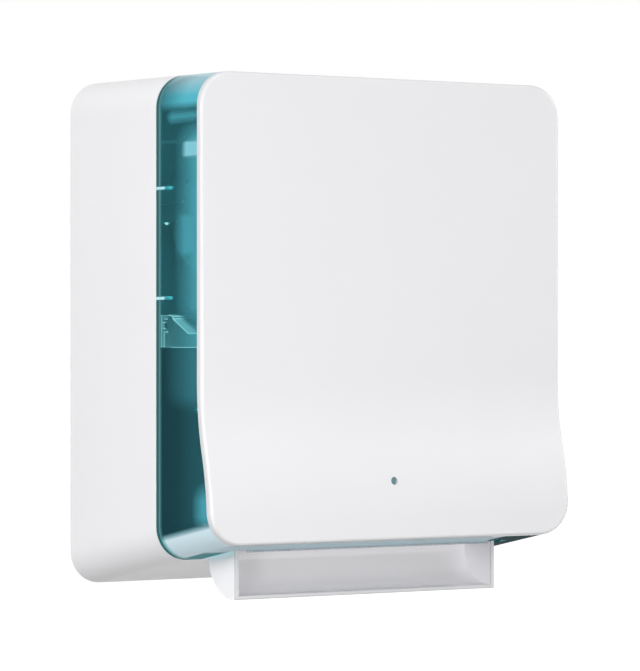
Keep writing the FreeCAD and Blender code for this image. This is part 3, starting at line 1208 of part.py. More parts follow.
def gear_cover():
    outer_x = PLATE_OUTER_X + GEAR_COVER_HEIGHT
    shell = gear_bag(PLATE_OUTER_X, outer_x, GEAR_COVER_WALL)
    shell = cut(shell, gear_bag(PLATE_OUTER_X - OVERRUN, outer_x - GEAR_COVER_WALL))
    ears = []
    holes = []
    reach = SMALL_SCREW_HEAD_R + GEAR_COVER_WALL
    for depth, z in gear_cover_ear_places():
        ears.append(rod_x(PLATE_OUTER_X, PLATE_OUTER_X + GEAR_COVER_WALL, depth, z, reach))
        holes.append(rod_x(PLATE_OUTER_X - OVERRUN, outer_x, depth, z, SMALL_SCREW_R))
    ears = [ear.cut(gear_bag(PLATE_OUTER_X - OVERRUN, outer_x)) for ear in ears]
    keep("gear_cover", cut(join(shell, *ears), *holes))
    seat = PLATE_OUTER_X + GEAR_COVER_WALL
    length = GEAR_COVER_WALL + PLATE_THICKNESS - LOOSE_FIT
    fasten("small_screws", *[small_screw(at(seat, depth, z), Vector(-1, 0, 0), length)
                             for depth, z in gear_cover_ear_places()])


# Battery box with four D cells, and the hinged lid over it
def lid_profile(grow=0.0, back=LID_BACK, front=LID_FRONT, bottom=FRAME_TOP_Z):
    # the sloping outline that lid and electronics cover share
    slope = math.atan2(LID_NOSE_Z - LID_FLAT_Z, LID_BREAK_DEPTH - LID_NOSE_DEPTH)
    drop = grow / math.cos(slope)
    nose_z = LID_NOSE_Z - drop
    break_depth = LID_BREAK_DEPTH - grow * math.tan(slope / 2)
    nose_depth = max(LID_NOSE_DEPTH, back + grow)
    nose_z -= (nose_depth - LID_NOSE_DEPTH) * math.tan(slope)
    return [(back + grow, bottom), (nose_depth, nose_z), (break_depth, LID_FLAT_Z - grow),
            (front - grow, LID_FLAT_Z - grow), (front - grow, bottom)]


def cell_places():
    first = BOX_BACK + BOX_WALL + CELL_GAP + CELL_R
    second = first + 2 * CELL_R + CELL_GAP
    middle = (BOX_LEFT + BOX_RIGHT) / 2
    return [(middle + side * (CELL_LENGTH + CELL_TIP_H + CELL_GAP) / 2, depth)
            for side in (-1, 1) for depth in (first, second)]


def cell_z():
    return SHELF_Z + BOX_WALL + CELL_GAP / 2 + CELL_R


def battery_box():
    wall = BOX_WALL
    front = LID_FRONT - SLIP_FIT
    shell = box(BOX_LEFT, BOX_RIGHT, BOX_BACK, front, SHELF_Z, FRAME_TOP_Z - LID_RIM_GAP)
    left, right = BOX_LEFT + wall, BOX_RIGHT - wall
    hollow = box(left, right, BOX_BACK + wall, front - wall, SHELF_Z + wall, FRAME_TOP_Z)
    rear = box(BOX_LEFT, BOX_RIGHT, BOX_BACK, BOX_BACK + wall, SHELF_Z, BACKSTOP_Z)
    posts = []
    for x0, x1 in ((left, left + wall), (right - wall, right)):
        posts.append(box(x0, x1, BOX_BACK + wall, LID_ROD_DEPTH + 2 * LID_ROD_R,
                         FRAME_TOP_Z - LID_POST_DROP, LID_ROD_Z))
        posts.append(rod_x(x0, x1, LID_ROD_DEPTH, LID_ROD_Z, 2 * LID_ROD_R))
    first, second = cell_places()[0][1], cell_places()[1][1]
    middle, half = (first + second) / 2, CELL_DIVIDER / 2
    divider = box(left, right, middle - half, middle + half, SHELF_Z, cell_z() - CELL_R / 2)
    cradle = [rod_x(BOX_LEFT, BOX_RIGHT, depth, cell_z(), CELL_R + CELL_GAP / 2) for depth in (first, second)]
    divider = cut(divider, *cradle)
    shell = join(cut(shell, hollow), rear, *posts, divider)
    rod_hole = rod_x(BOX_LEFT - OVERRUN, BOX_RIGHT + OVERRUN, LID_ROD_DEPTH, LID_ROD_Z, LID_ROD_R)
    keep("battery_box", cut(shell, rod_hole))
    keep("lid_rod", rod_x(BOX_LEFT, BOX_RIGHT, LID_ROD_DEPTH, LID_ROD_Z, LID_ROD_R))


def batteries():
    cells = []
    contacts = []
    for number, (x, depth) in enumerate(cell_places()):
        row_sign = 1 if number % 2 == 0 else -1
        start = x - row_sign * (CELL_LENGTH + CELL_TIP_H) / 2
        body = rod_x(start, start + row_sign * CELL_LENGTH, depth, cell_z(), CELL_R)
        rims = [edge for edge in body.Edges if edge.Closed]
        body = body.makeChamfer(CELL_CHAMFER, rims)
        tip_start = start + row_sign * CELL_LENGTH
        tip = rod_x(tip_start, tip_start + row_sign * CELL_TIP_H, depth, cell_z(), CELL_TIP_R)
        cells.append(join(body, tip))
    keep("batteries", group(*cells))
    depths = sorted({depth for x, depth in cell_places()})
    left, right = BOX_LEFT + BOX_WALL, BOX_RIGHT - BOX_WALL
    ends = [x for x, depth in cell_places()]
    cells_left = min(ends) - (CELL_LENGTH + CELL_TIP_H) / 2
    cells_right = max(ends) + (CELL_LENGTH + CELL_TIP_H) / 2
    for depth in depths:
        for wall_x, cell_x in ((left, cells_left), (right, cells_right)):
            side = 1 if cell_x > wall_x else -1
            base_x = wall_x + side * CONTACT_PLATE
            plate = rod_x(wall_x, base_x, depth, cell_z(), 2 * CELL_TIP_R)
            cone = rod_x(base_x, cell_x - side * CONTACT_GAP, depth, cell_z(), CONTACT_CONE_R, CELL_TIP_R)
            hollow = rod_x(base_x, cell_x, depth, cell_z(), CONTACT_CONE_R - CONTACT_WALL,
                           CELL_TIP_R - CONTACT_WALL)
            contacts.append(join(plate, cone.cut(hollow)))
    keep("battery_contacts", group(*contacts))


def battery_lid():
    left, right = BOX_LEFT - LID_SIDE_GAP, BOX_RIGHT + LID_SIDE_GAP
    wall = LID_WALL
    body = side_profile(lid_profile(), left, right)
    hollow = side_profile(lid_profile(wall, bottom=FRAME_TOP_Z - OVERRUN), left + wall, right - wall)
    shell = body.cut(hollow)
    clips = []
    for x0, x1 in ((left, left + wall), (right - wall, right)):
        ring = rod_x(x0, x1, LID_ROD_DEPTH, LID_ROD_Z, LID_CLIP_R)
        root = LID_ROD_DEPTH + LID_ROD_R
        foot_z = LID_ROD_Z - 2 * LID_CLIP_R
        nose = side_profile([(root, LID_ROD_Z - LID_ROD_R), (root, LID_ROD_Z + LID_CLIP_R - CASING_WALL / 3),
                             (LID_NOSE_DEPTH, LID_NOSE_Z), (LID_BACK + wall, LID_NOSE_Z - wall),
                             (LID_BACK + wall, foot_z), (LID_BACK - wall, foot_z)], x0, x1)
        clips += [ring, nose]
    ledge = side_profile([(LID_NOSE_DEPTH, LID_NOSE_Z), (LID_BACK + wall, LID_NOSE_Z - LID_LEDGE_SLOPE),
                          (LID_BACK + wall, LID_NOSE_Z - LID_LEDGE_SLOPE - wall),
                          (LID_NOSE_DEPTH + LID_SIDE_GAP, LID_NOSE_Z - wall)], left, right)
    tab_half = LID_TAB_WIDTH / 2
    middle = (left + right) / 2
    tab = box(middle - tab_half, middle + tab_half, LID_FRONT - LID_SIDE_GAP,
              LID_FRONT - LID_SIDE_GAP + LID_TAB_THICKNESS, FRAME_TOP_Z, LID_FLAT_Z - LID_TAB_DROP)
    shell = join(shell, *clips, ledge, tab)
    bores = []
    for x0, x1 in ((left - OVERRUN, left + wall), (right - wall, right + OVERRUN)):
        bores.append(rod_x(x0, x1, LID_ROD_DEPTH, LID_ROD_Z, LID_ROD_R + PIN_CLEARANCE))
        bores.append(box(x0, x1, LID_ROD_DEPTH - 2 * LID_CLIP_R, LID_ROD_DEPTH,
                         LID_ROD_Z - LID_CLIP_MOUTH / 2, LID_ROD_Z + LID_CLIP_MOUTH / 2))
    keep("battery_lid", cut(shell, *bores))


# Electronics cover beside the battery lid, with the feed button and the towel length switch
def electronics_cover():
    left, right, wall = ELECTRONICS_LEFT, ELECTRONICS_RIGHT, LID_WALL
    outline = lid_profile(0, BOX_BACK, LID_FRONT, SHELF_Z)
    outline = [outline[0], (BOX_BACK, LID_NOSE_Z)] + [(LID_NOSE_DEPTH, LID_NOSE_Z)] + outline[2:]
    ceiling_z = LID_NOSE_Z - wall
    inner = [(BOX_BACK + wall, SHELF_Z - OVERRUN), (BOX_BACK + wall, ceiling_z),
             (LID_NOSE_DEPTH - LID_SIDE_GAP, ceiling_z)]
    inner += lid_profile(wall, BOX_BACK, LID_FRONT, SHELF_Z - OVERRUN)[2:]
    shell = cut(side_profile(outline, left, right), side_profile(inner, left + wall, right - wall))
    half = BUTTON_SIZE / 2
    ceiling = LID_FLAT_Z - wall
    bridge_half = half + BRIDGE_MARGIN
    leg_half, leg_depth = BRIDGE_WALL / 2, BRIDGE_LEG_LENGTH / 2
    legs = [box(x - leg_half, x + leg_half, BUTTON_DEPTH - leg_depth, BUTTON_DEPTH + leg_depth,
                BRIDGE_Z - BRIDGE_WALL, ceiling + wall / 2)
            for x in (BUTTON_X - bridge_half, BUTTON_X + bridge_half)]
    bridge = box(BUTTON_X - bridge_half, BUTTON_X + bridge_half, BUTTON_DEPTH - BRIDGE_LENGTH / 2,
                 BUTTON_DEPTH + BRIDGE_LENGTH / 2, BRIDGE_Z - BRIDGE_WALL, BRIDGE_Z)
    shell = join(shell, *legs, bridge)
    hole_half = half + LOOSE_FIT
    hole = box(BUTTON_X - hole_half, BUTTON_X + hole_half, BUTTON_DEPTH - hole_half, BUTTON_DEPTH + hole_half,
               ceiling - SLIP_FIT, LID_FLAT_Z + OVERRUN)
    stem = BUTTON_STEM / 2 + LOOSE_FIT
    stem_hole = box(BUTTON_X - stem, BUTTON_X + stem, BUTTON_DEPTH - stem, BUTTON_DEPTH + stem,
                    BRIDGE_Z - BRIDGE_WALL - OVERRUN, BRIDGE_Z + OVERRUN)
    slot_half = SLIDER_WIDTH / 2 + SLIDER_TRAVEL + LOOSE_FIT
    slot_depth = SLIDER_LENGTH / 2 + LOOSE_FIT
    slot = box(SWITCH_X - slot_half, SWITCH_X + slot_half, BUTTON_DEPTH - slot_depth,
               BUTTON_DEPTH + slot_depth, ceiling - OVERRUN, LID_FLAT_Z + OVERRUN)
    keep("electronics_cover", cut(shell, hole, stem_hole, slot))


def feed_button():
    half, ceiling = BUTTON_SIZE / 2, LID_FLAT_Z - LID_WALL
    cap = box(BUTTON_X - half, BUTTON_X + half, BUTTON_DEPTH - half, BUTTON_DEPTH + half, ceiling - SLIP_FIT,
              LID_FLAT_Z + BUTTON_RISE)
    top = [edge for edge in cap.Edges if abs(edge.BoundBox.ZMin - LID_FLAT_Z - BUTTON_RISE) < SAME_PLACE]
    cap = cap.makeFillet(BUTTON_ROUND, top)
    wide = half + BUTTON_ROUND
    flange = box(BUTTON_X - wide, BUTTON_X + wide, BUTTON_DEPTH - wide, BUTTON_DEPTH + wide,
                 ceiling - SLIP_FIT - BUTTON_FLANGE, ceiling - SLIP_FIT)
    stem = BUTTON_STEM / 2
    foot_z = BOARD_Z + BOARD_THICKNESS + TACT_H + BUTTON_TRAVEL + LOOSE_FIT
    foot = box(BUTTON_X - stem, BUTTON_X + stem, BUTTON_DEPTH - stem, BUTTON_DEPTH + stem, foot_z, ceiling)
    keep("feed_button", join(cap, flange, foot))
    spring_top = ceiling - SLIP_FIT - BUTTON_FLANGE
    spring = coil_spring(BUTTON_SPRING_R, BUTTON_SPRING_TURNS, spring_top - BRIDGE_Z, SPRING_WIRE_R)
    spring.translate(at(BUTTON_X, BUTTON_DEPTH, BRIDGE_Z))
    keep("button_spring", spring)


def length_switch():
    ceiling = LID_FLAT_Z - LID_WALL
    half_x, half_d = SLIDER_WIDTH / 2, SLIDER_LENGTH / 2
    top = LID_FLAT_Z + SLIDER_RISE
    knob = box(SWITCH_X - half_x, SWITCH_X + half_x, BUTTON_DEPTH - half_d, BUTTON_DEPTH + half_d,
               ceiling - SLIP_FIT, top)
    grip_half = SLIDER_GRIP_WIDTH / 2
    wide_d = half_d + SLIDER_SHOULDER
    grooves = [box(SWITCH_X + offset - grip_half, SWITCH_X + offset + grip_half, BUTTON_DEPTH - wide_d,
                   BUTTON_DEPTH + wide_d, top - SLIDER_GRIP_DEPTH, top + OVERRUN) for offset in SLIDER_GRIP]
    carriage_x = half_x + 2 * SLIDER_TRAVEL
    carriage = box(SWITCH_X - carriage_x, SWITCH_X + carriage_x, BUTTON_DEPTH - wide_d, BUTTON_DEPTH + wide_d,
                   ceiling - SLIP_FIT - SLIDER_CARRIAGE, ceiling - SLIP_FIT)
    keep("length_slider", join(cut(knob, *grooves), carriage))
    low, high = BOARD_Z + BOARD_THICKNESS, ceiling - 2 * SLIP_FIT - SLIDER_CARRIAGE
    reach = carriage_x + SLIDER_TRAVEL + SWITCH_WALL / 2
    housing = box(SWITCH_X - reach, SWITCH_X + reach, BUTTON_DEPTH - half_d, BUTTON_DEPTH + half_d, low, high)
    inner = reach - SWITCH_WALL
    window = box(SWITCH_X - inner, SWITCH_X + inner, BUTTON_DEPTH - wide_d, BUTTON_DEPTH + wide_d,
                 low + SWITCH_RIM, high - SWITCH_RIM)
    keep("length_switch", housing.cut(window))


def circuit_board():
    margin = LID_WALL + BOARD_MARGIN / 2
    left, right = ELECTRONICS_LEFT + margin, ELECTRONICS_RIGHT - margin
    top = BOARD_Z + BOARD_THICKNESS
    board = box(left, right, BOARD_BACK, BOARD_FRONT, BOARD_Z, top)
    holes = [rod_z(x, depth, BOARD_Z - OVERRUN, top + OVERRUN, SMALL_SCREW_R)
             for x, depth in standoff_places()]
    keep("circuit_board", cut(board, *holes))
    length = BOARD_THICKNESS + BOARD_Z - SHELF_Z - STANDOFF_R
    fasten("small_screws", *[small_screw(at(x, depth, top), Vector(0, 0, -1), length)
                             for x, depth in standoff_places()])
    blocks = []
    for from_left, from_back, width, depth, height in BOARD_BLOCKS:
        x, back = left + from_left, BOARD_BACK + from_back
        blocks.append(box(x, x + width, back, back + depth, top, top + height))
    drums = [rod_z(left + x, BOARD_BACK + DRUM_BACK, top, top + DRUM_H, DRUM_R) for x in DRUM_X]
    half = TACT_SIZE / 2
    tact = box(BUTTON_X - half, BUTTON_X + half, BUTTON_DEPTH - half, BUTTON_DEPTH + half, top, top + TACT_H)
    keep("board_parts", group(*blocks, *drums, tact))


# Towel roll, its core and the two hubs that carry it
def paper_roll():
    keep("paper_roll", ring_x(-ROLL_HALF, ROLL_HALF, ROLL_DEPTH, ROLL_Z, ROLL_R, CORE_R))
    keep("roll_core", ring_x(-ROLL_HALF, ROLL_HALF, ROLL_DEPTH, ROLL_Z, CORE_R, CORE_R - CORE_WALL))


def hubs():
    face = ARM_X - HUB_FACE_GAP / 2
    base = face - HUB_FLANGE_H
    flange = rod_x(base, face, ROLL_DEPTH, ROLL_Z, HUB_FLANGE_R)
    nose_r = CORE_R - CORE_WALL - HUB_FACE_GAP
    nose = rod_x(base - HUB_NOSE_LENGTH, base, ROLL_DEPTH, ROLL_Z, HUB_NOSE_TIP_R, nose_r)
    stub = rod_x(face, ARM_OUTER_X, ROLL_DEPTH, ROLL_Z, HUB_STUB_R)
    dish = rod_x(base - HUB_NOSE_LENGTH - OVERRUN, base, ROLL_DEPTH, ROLL_Z, HUB_NOSE_TIP_R - HUB_WALL)
    hub = cut(join(flange, nose, stub), dish)
    keep("hub_right", hub)
    keep("hub_left", mirrored(hub))


def roll_arms():
    bore = rod_x(ARM_X - OVERRUN, ARM_OUTER_X + OVERRUN, ROLL_DEPTH, ROLL_Z, HUB_STUB_R + PIN_CLEARANCE)
    low, high = ROLL_Z - ARM_HALF, ROLL_Z + ARM_HALF
    outline = [(ARM_PAD_FRONT, low), (ROLL_DEPTH, ROLL_Z - ARM_TIP_R),
               (ROLL_DEPTH, ROLL_Z + ARM_TIP_R), (ARM_PAD_FRONT, high)]
    blade = side_profile(outline, ARM_X, ARM_OUTER_X)
    tip = rod_x(ARM_X, ARM_OUTER_X, ROLL_DEPTH, ROLL_Z, ARM_TIP_R)
    foot_front = ARM_PAD_FRONT + ARM_FOOT_THICKNESS
    foot = box(ARM_X, ARM_OUTER_X + ARM_FOOT_LENGTH, ARM_PAD_FRONT, foot_front, low, high)
    rib = box(ARM_OUTER_X, ARM_OUTER_X + ARM_RIB_WIDTH, ARM_PAD_FRONT, ROLL_DEPTH - ARM_TIP_R,
              ROLL_Z - ARM_RIB_WIDTH / 2, ROLL_Z + ARM_RIB_WIDTH / 2)
    holes = [rod_out(x, z, 0, foot_front + OVERRUN, SCREW_R) for x, z in arm_screw_places()]
    left = cut(join(blade, tip, foot, rib), bore, *holes)
    keep("roll_arm_left", mirrored(left))
    bracket_x1 = ARM_OUTER_X + ARM_FOOT_LENGTH
    ear_low, ear_high = ROLL_Z - ARM_EAR_HALF, ROLL_Z + ARM_EAR_HALF
    plate = box(ARM_X, bracket_x1, ARM_PAD_FRONT, ARM_PAD_FRONT + ARM_BRACKET_WALL, ear_low, ear_high)
    ears = []
    for z0, z1 in ((ear_low, ear_low + ARM_EAR_WALL), (ear_high - ARM_EAR_WALL, ear_high)):
        ears.append(rod_z(ARM_PIN_X, ARM_PIN_DEPTH, z0, z1, ARM_KNUCKLE_R))
        ears.append(box(ARM_PIN_X - ARM_KNUCKLE_R, ARM_PIN_X + ARM_KNUCKLE_R, ARM_PAD_FRONT, ARM_PIN_DEPTH,
                        z0, z1))
    pin = rod_z(ARM_PIN_X, ARM_PIN_DEPTH, ear_low, ear_high, ARM_PIN_R)
    pin = join(pin, rod_z(ARM_PIN_X, ARM_PIN_DEPTH, ear_high, ear_high + ARM_PIN_HEAD, ARM_PIN_HEAD_R))
    keep("arm_bracket", cut(join(plate, *ears), rod_z(ARM_PIN_X, ARM_PIN_DEPTH, 0, REACH, ARM_PIN_R), *holes))
    keep("arm_pin", pin)
    knuckle_low, knuckle_high = ROLL_Z - ARM_KNUCKLE_HALF, ROLL_Z + ARM_KNUCKLE_HALF
    knuckle = rod_z(ARM_PIN_X, ARM_PIN_DEPTH, knuckle_low, knuckle_high, ARM_KNUCKLE_R)
    start = ARM_PIN_DEPTH + ARM_PIN_R / 2
    lead = start + ARM_FOOT_LENGTH
    blade = side_profile([(start, knuckle_low), (lead, low + OVERRUN), (ROLL_DEPTH, ROLL_Z - ARM_TIP_R),
                          (ROLL_DEPTH, ROLL_Z + ARM_TIP_R), (lead, high - OVERRUN), (start, knuckle_high)],
                         ARM_X, ARM_OUTER_X)
    web = box(ARM_X, ARM_PIN_X, start, ARM_PIN_DEPTH + ARM_KNUCKLE_R, knuckle_low, knuckle_high)
    arm = cut(join(knuckle, blade, web, tip), bore,
              rod_z(ARM_PIN_X, ARM_PIN_DEPTH, 0, REACH, ARM_PIN_R + PIN_CLEARANCE))
    keep("roll_arm_right", arm)
    left_screws = [screw(at(-x, foot_front, z), Vector(0, 1, 0)) for x, z in arm_screw_places()]
    bracket_seat = ARM_PAD_FRONT + ARM_BRACKET_WALL
    right_screws = [screw(at(x, bracket_seat, z), Vector(0, 1, 0), bracket_seat - CASING_WALL / 2)
                    for x, z in arm_screw_places()]
    fasten("frame_screws", *left_screws, *right_screws)


def arm_spring():
    # torsion spring round the pin above the knuckle: one leg lies along the arm, the other faces the bracket
    wire, turns = ARM_SPRING_WIRE_R, ARM_SPRING_TURNS
    room = ARM_EAR_HALF - ARM_EAR_WALL - ARM_KNUCKLE_HALF
    pitch = (room - 2 * wire) / turns - 2 * LOOSE_FIT
    high = ROLL_Z + ARM_KNUCKLE_HALF + wire + 2 * LOOSE_FIT + turns * pitch
    centre = at(ARM_PIN_X, ARM_PIN_DEPTH, high)
    points = coil_points(centre, ARM_OUTER_X + wire - ARM_PIN_X, turns, -pitch)
    arcs = [Part.Arc(*points[i:i + 3]).toShape() for i in range(0, len(points) - 2, 2)]
    first = arcs[0]
    lead_in = first.tangentAt(first.FirstParameter)
    lead_in.normalize()
    last = arcs[-1]
    lead_out = last.tangentAt(last.LastParameter)
    lead_out.normalize()
    leg = points[0] - lead_in * (ARM_PIN_DEPTH - ARM_PAD_FRONT - ARM_BRACKET_WALL - wire - LOOSE_FIT)
    tail = points[-1] + lead_out * ARM_SPRING_LEG
    path = Part.Wire([Part.makeLine(leg, points[0])] + arcs + [Part.makeLine(points[-1], tail)])
    ring = Part.Wire([Part.makeCircle(wire, leg, lead_in)])
    keep("arm_spring", path.makePipeShell([ring], True, False))


def main():
    os.makedirs("parts", exist_ok=True)
    rear_casing()
    hinge_pins()
    hood()
    front_panel()
    panel_screws()
    sensor_window()
    hinge_arms()
    lock_strike()
    cover_magnet()
    lock()
    frame_back()
    side_plates()
    front_beam()
    tear_bar()
    outlet_tray()
    drive_roller()
    pressure_roller()
    gear_train()
    gear_motor()
    gear_cover()
    battery_box()
    batteries()
    battery_lid()
    electronics_cover()
    feed_button()
    length_switch()
    circuit_board()
    paper_roll()
    hubs()
    roll_arms()
    arm_spring()
    for name, screws in FASTENERS.items():
        keep(name, group(*screws))
    for name, shape in PARTS.items():
        shape.exportStep(f"parts/{name}.step")
        box_size = shape.BoundBox
        print(f"{name}: {len(shape.Solids)} solids, valid {shape.isValid()}, volume {shape.Volume:.0f}, "
              f"x {box_size.XMin:.1f}..{box_size.XMax:.1f} depth {-box_size.YMax:.1f}..{-box_size.YMin:.1f} "
              f"z {box_size.ZMin:.1f}..{box_size.ZMax:.1f}")


main()
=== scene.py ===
import math

import bpy
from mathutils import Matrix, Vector


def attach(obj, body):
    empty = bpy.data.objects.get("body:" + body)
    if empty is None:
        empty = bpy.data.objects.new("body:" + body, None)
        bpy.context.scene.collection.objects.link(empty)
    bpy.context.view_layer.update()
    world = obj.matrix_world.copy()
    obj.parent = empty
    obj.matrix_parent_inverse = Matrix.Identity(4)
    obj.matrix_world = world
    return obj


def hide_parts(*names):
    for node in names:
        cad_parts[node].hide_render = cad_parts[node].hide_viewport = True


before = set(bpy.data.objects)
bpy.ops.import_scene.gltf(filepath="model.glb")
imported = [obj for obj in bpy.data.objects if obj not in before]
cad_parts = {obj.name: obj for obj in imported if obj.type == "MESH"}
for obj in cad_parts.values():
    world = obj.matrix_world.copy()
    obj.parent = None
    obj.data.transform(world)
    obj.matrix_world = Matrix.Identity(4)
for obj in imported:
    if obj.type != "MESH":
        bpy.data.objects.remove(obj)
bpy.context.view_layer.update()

# Rear casing. One tub of white plastic, injection moulded in a polished tool, that hangs on four wall screws.
# Its walls draw in towards the front, and its rim carries two pairs of thin fins that guide the cover.
PART_LINE_ROUND = 0.0006
SMOOTH_ANGLE = math.radians(28)
SHARP_ANGLE = math.radians(35)
FLAT_ANGLE = math.radians(0.15)
FLAT_WEIGHT = 80
MERGE_DISTANCE = 0.000002
EDGE_SEGMENTS = 2
BUMP_HEIGHT = 0.0002
WHITE = (0.845, 0.845, 0.86)
CASING_ROUGHNESS = 0.34
PLASTIC_IOR = 1.48
COAT_ROUGHNESS = 0.08
NOISE_DETAIL = 3.0
FINE_DETAIL = 2.0
NOISE_LOW = 0.3
NOISE_HIGH = 0.7
FLOW_SCALE = 9.0
GLOSS_SCALE = 40.0
GLOSS_SPREAD = (0.92, 1.08)


def deselect():
    for other in list(bpy.context.selected_objects):
        other.select_set(False)


def pick(obj):
    deselect()
    obj.select_set(True)
    bpy.context.view_layer.objects.active = obj


def apply_modifier(obj, kind, **settings):
    pick(obj)
    modifier = obj.modifiers.new(kind.title(), kind)
    for key, value in settings.items():
        setattr(modifier, key, value)
    bpy.ops.object.modifier_apply(modifier=modifier.name)


def smooth(obj):
    # rounded edges blend into faces that stay flat
    pick(obj)
    bpy.ops.object.shade_smooth_by_angle(angle=SMOOTH_ANGLE)
    apply_modifier(obj, "WEIGHTED_NORMAL", mode="FACE_AREA", weight=FLAT_WEIGHT, keep_sharp=True)


def shell_of(node, name, rounding, finishes=()):
    # the moulded shell's shape, with its sharp edges rounded as the tool rounds them; where there are two
    # finishes, the second one goes on the rounded edges
    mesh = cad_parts[node].data.copy()
    mesh.materials.clear()
    for finish in finishes:
        mesh.materials.append(finish)
    obj = bpy.data.objects.new(name, mesh)
    bpy.context.scene.collection.objects.link(obj)
    pick(obj)
    bpy.ops.object.mode_set(mode="EDIT")
    bpy.ops.mesh.select_all(action="SELECT")
    bpy.ops.mesh.customdata_custom_splitnormals_clear()
    bpy.ops.mesh.remove_doubles(threshold=MERGE_DISTANCE)
    bpy.ops.mesh.dissolve_limited(angle_limit=FLAT_ANGLE)
    bpy.ops.object.mode_set(mode="OBJECT")
    if rounding:
        apply_modifier(obj, "BEVEL", width=rounding, segments=EDGE_SEGMENTS, limit_method="ANGLE",
                       angle_limit=SHARP_ANGLE, use_clamp_overlap=True, miter_outer="MITER_ARC",
                       material=len(finishes) - 1)
    smooth(obj)
    return obj


def dress(obj, material, slot, body, *nodes):
    if not obj.data.materials:
        obj.data.materials.append(material)
    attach(obj, body)
    if nodes:
        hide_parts(*nodes)


def start_material(name):
    made = bpy.data.materials.new(name)
    made.use_nodes = True
    tree = made.node_tree
    return made, tree, tree.nodes["Principled BSDF"]


def add_node(tree, kind, **settings):
    node = tree.nodes.new(kind)
    for key, value in settings.items():
        setattr(node, key, value)
    return node


def noise_of(tree, scale, detail=NOISE_DETAIL, stretch=(1, 1, 1)):
    place = add_node(tree, "ShaderNodeTexCoord")
    mapping = add_node(tree, "ShaderNodeMapping")
    mapping.inputs["Scale"].default_value = stretch
    texture = add_node(tree, "ShaderNodeTexNoise")
    texture.inputs["Scale"].default_value = scale
    texture.inputs["Detail"].default_value = detail
    tree.links.new(place.outputs["Object"], mapping.inputs["Vector"])
    tree.links.new(mapping.outputs["Vector"], texture.inputs["Vector"])
    return texture.outputs["Fac"]


def ramp(tree, value, low, high, start=NOISE_LOW, end=NOISE_HIGH):
    node = add_node(tree, "ShaderNodeMapRange")
    node.inputs["From Min"].default_value = start
    node.inputs["From Max"].default_value = end
    node.inputs["To Min"].default_value = low
    node.inputs["To Max"].default_value = high
    tree.links.new(value, node.inputs["Value"])
    return node.outputs["Result"]


def opposite(tree, value):
    # one where value is none, and none where it is one
    return ramp(tree, value, 1.0, 0.0, 0.0, 1.0)


def mix_colours(tree, share, first, second):
    # first and second are colours or sockets, and share says how much of the second there is
    node = add_node(tree, "ShaderNodeMix", data_type="RGBA")
    tree.links.new(share, node.inputs[0])
    for socket, colour in ((node.inputs[6], first), (node.inputs[7], second)):
        if isinstance(colour, tuple):
            socket.default_value = (*colour, 1)
        else:
            tree.links.new(colour, socket)
    return node.outputs[2]


def blend_colours(tree, value, first, second, start=NOISE_LOW, end=NOISE_HIGH):
    return mix_colours(tree, ramp(tree, value, 0, 1, start, end), first, second)


def bump_from(tree, shader, value, strength, distance=BUMP_HEIGHT):
    node = add_node(tree, "ShaderNodeBump")
    node.inputs["Strength"].default_value = strength
    node.inputs["Distance"].default_value = distance
    tree.links.new(value, node.inputs["Height"])
    tree.links.new(node.outputs["Normal"], shader.inputs["Normal"])


def plastic(name, colour, roughness, grain=900.0, relief=0.05, tone=0.985, coat=0.0):
    # moulded plastic: faint flow shading, a fine skin from the tool, and gloss that varies a little
    made, tree, shader = start_material(name)
    darker = tuple(channel * tone for channel in colour)
    tree.links.new(blend_colours(tree, noise_of(tree, FLOW_SCALE), darker, colour), shader.inputs["Base Color"])
    gloss = ramp(tree, noise_of(tree, GLOSS_SCALE), *(roughness * share for share in GLOSS_SPREAD))
    tree.links.new(gloss, shader.inputs["Roughness"])
    bump_from(tree, shader, noise_of(tree, grain, FINE_DETAIL), relief)
    shader.inputs["IOR"].default_value = PLASTIC_IOR
    shader.inputs["Coat Weight"].default_value = coat
    shader.inputs["Coat Roughness"].default_value = COAT_ROUGHNESS
    return made


white_plastic = plastic("white moulded plastic", WHITE, CASING_ROUGHNESS)
casing = shell_of("rear_casing", "rear_casing_shell", PART_LINE_ROUND)
dress(casing, white_plastic, "white_plastic", "rear_unit", "rear_casing")


def finish_node(material, *nodes):
    for node in nodes:
        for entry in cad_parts[node].material_slots:
            entry.material = material


# Hinge pins and screws. Turned and headed steel, zinc plated and left bright; the plating is a little uneven and
# greyer in the recesses. The screws hold the feed unit, the panel and the cover's fittings from inside.
STEEL = (0.60, 0.61, 0.63)
SCREW_STEEL = (0.46, 0.47, 0.49)
STAIN_SCALE = 120.0
LINE_RELIEF = 0.06
LINE_SPREAD = (0.8, 1.25)


def metal(name, colour, roughness, stretch=(1, 1, 1), scale=700.0, stain=0.86):
    # drawn or plated metal: fine lines along stretch's short direction and a faint stain
    made, tree, shader = start_material(name)
    darker = tuple(channel * stain for channel in colour)
    tree.links.new(blend_colours(tree, noise_of(tree, STAIN_SCALE), darker, colour), shader.inputs["Base Color"])
    lines = noise_of(tree, scale, FINE_DETAIL, stretch)
    gloss = ramp(tree, lines, *(roughness * share for share in LINE_SPREAD))
    tree.links.new(gloss, shader.inputs["Roughness"])
    bump_from(tree, shader, lines, LINE_RELIEF)
    shader.inputs["Metallic"].default_value = 1.0
    return made


zinc = metal("zinc plated steel", STEEL, roughness=0.30)
screw_steel = metal("screw steel", SCREW_STEEL, roughness=0.34, stain=0.7)
finish_node(zinc, "hinge_pins")
finish_node(screw_steel, "frame_screws", "small_screws", "cover_screws", "panel_screws")

# Lock. A chrome plated barrel through the right wall with its nut inside, and a plug that the key turns.
# The plug carries a flat steel cam on its tang.
CHROME = (0.78, 0.79, 0.81)
lock_chrome = metal("lock chrome", CHROME, roughness=0.10, scale=300.0, stain=0.95)
finish_node(lock_chrome, "lock_barrel", "lock_plug")
finish_node(zinc, "lock_nut", "lock_cam")

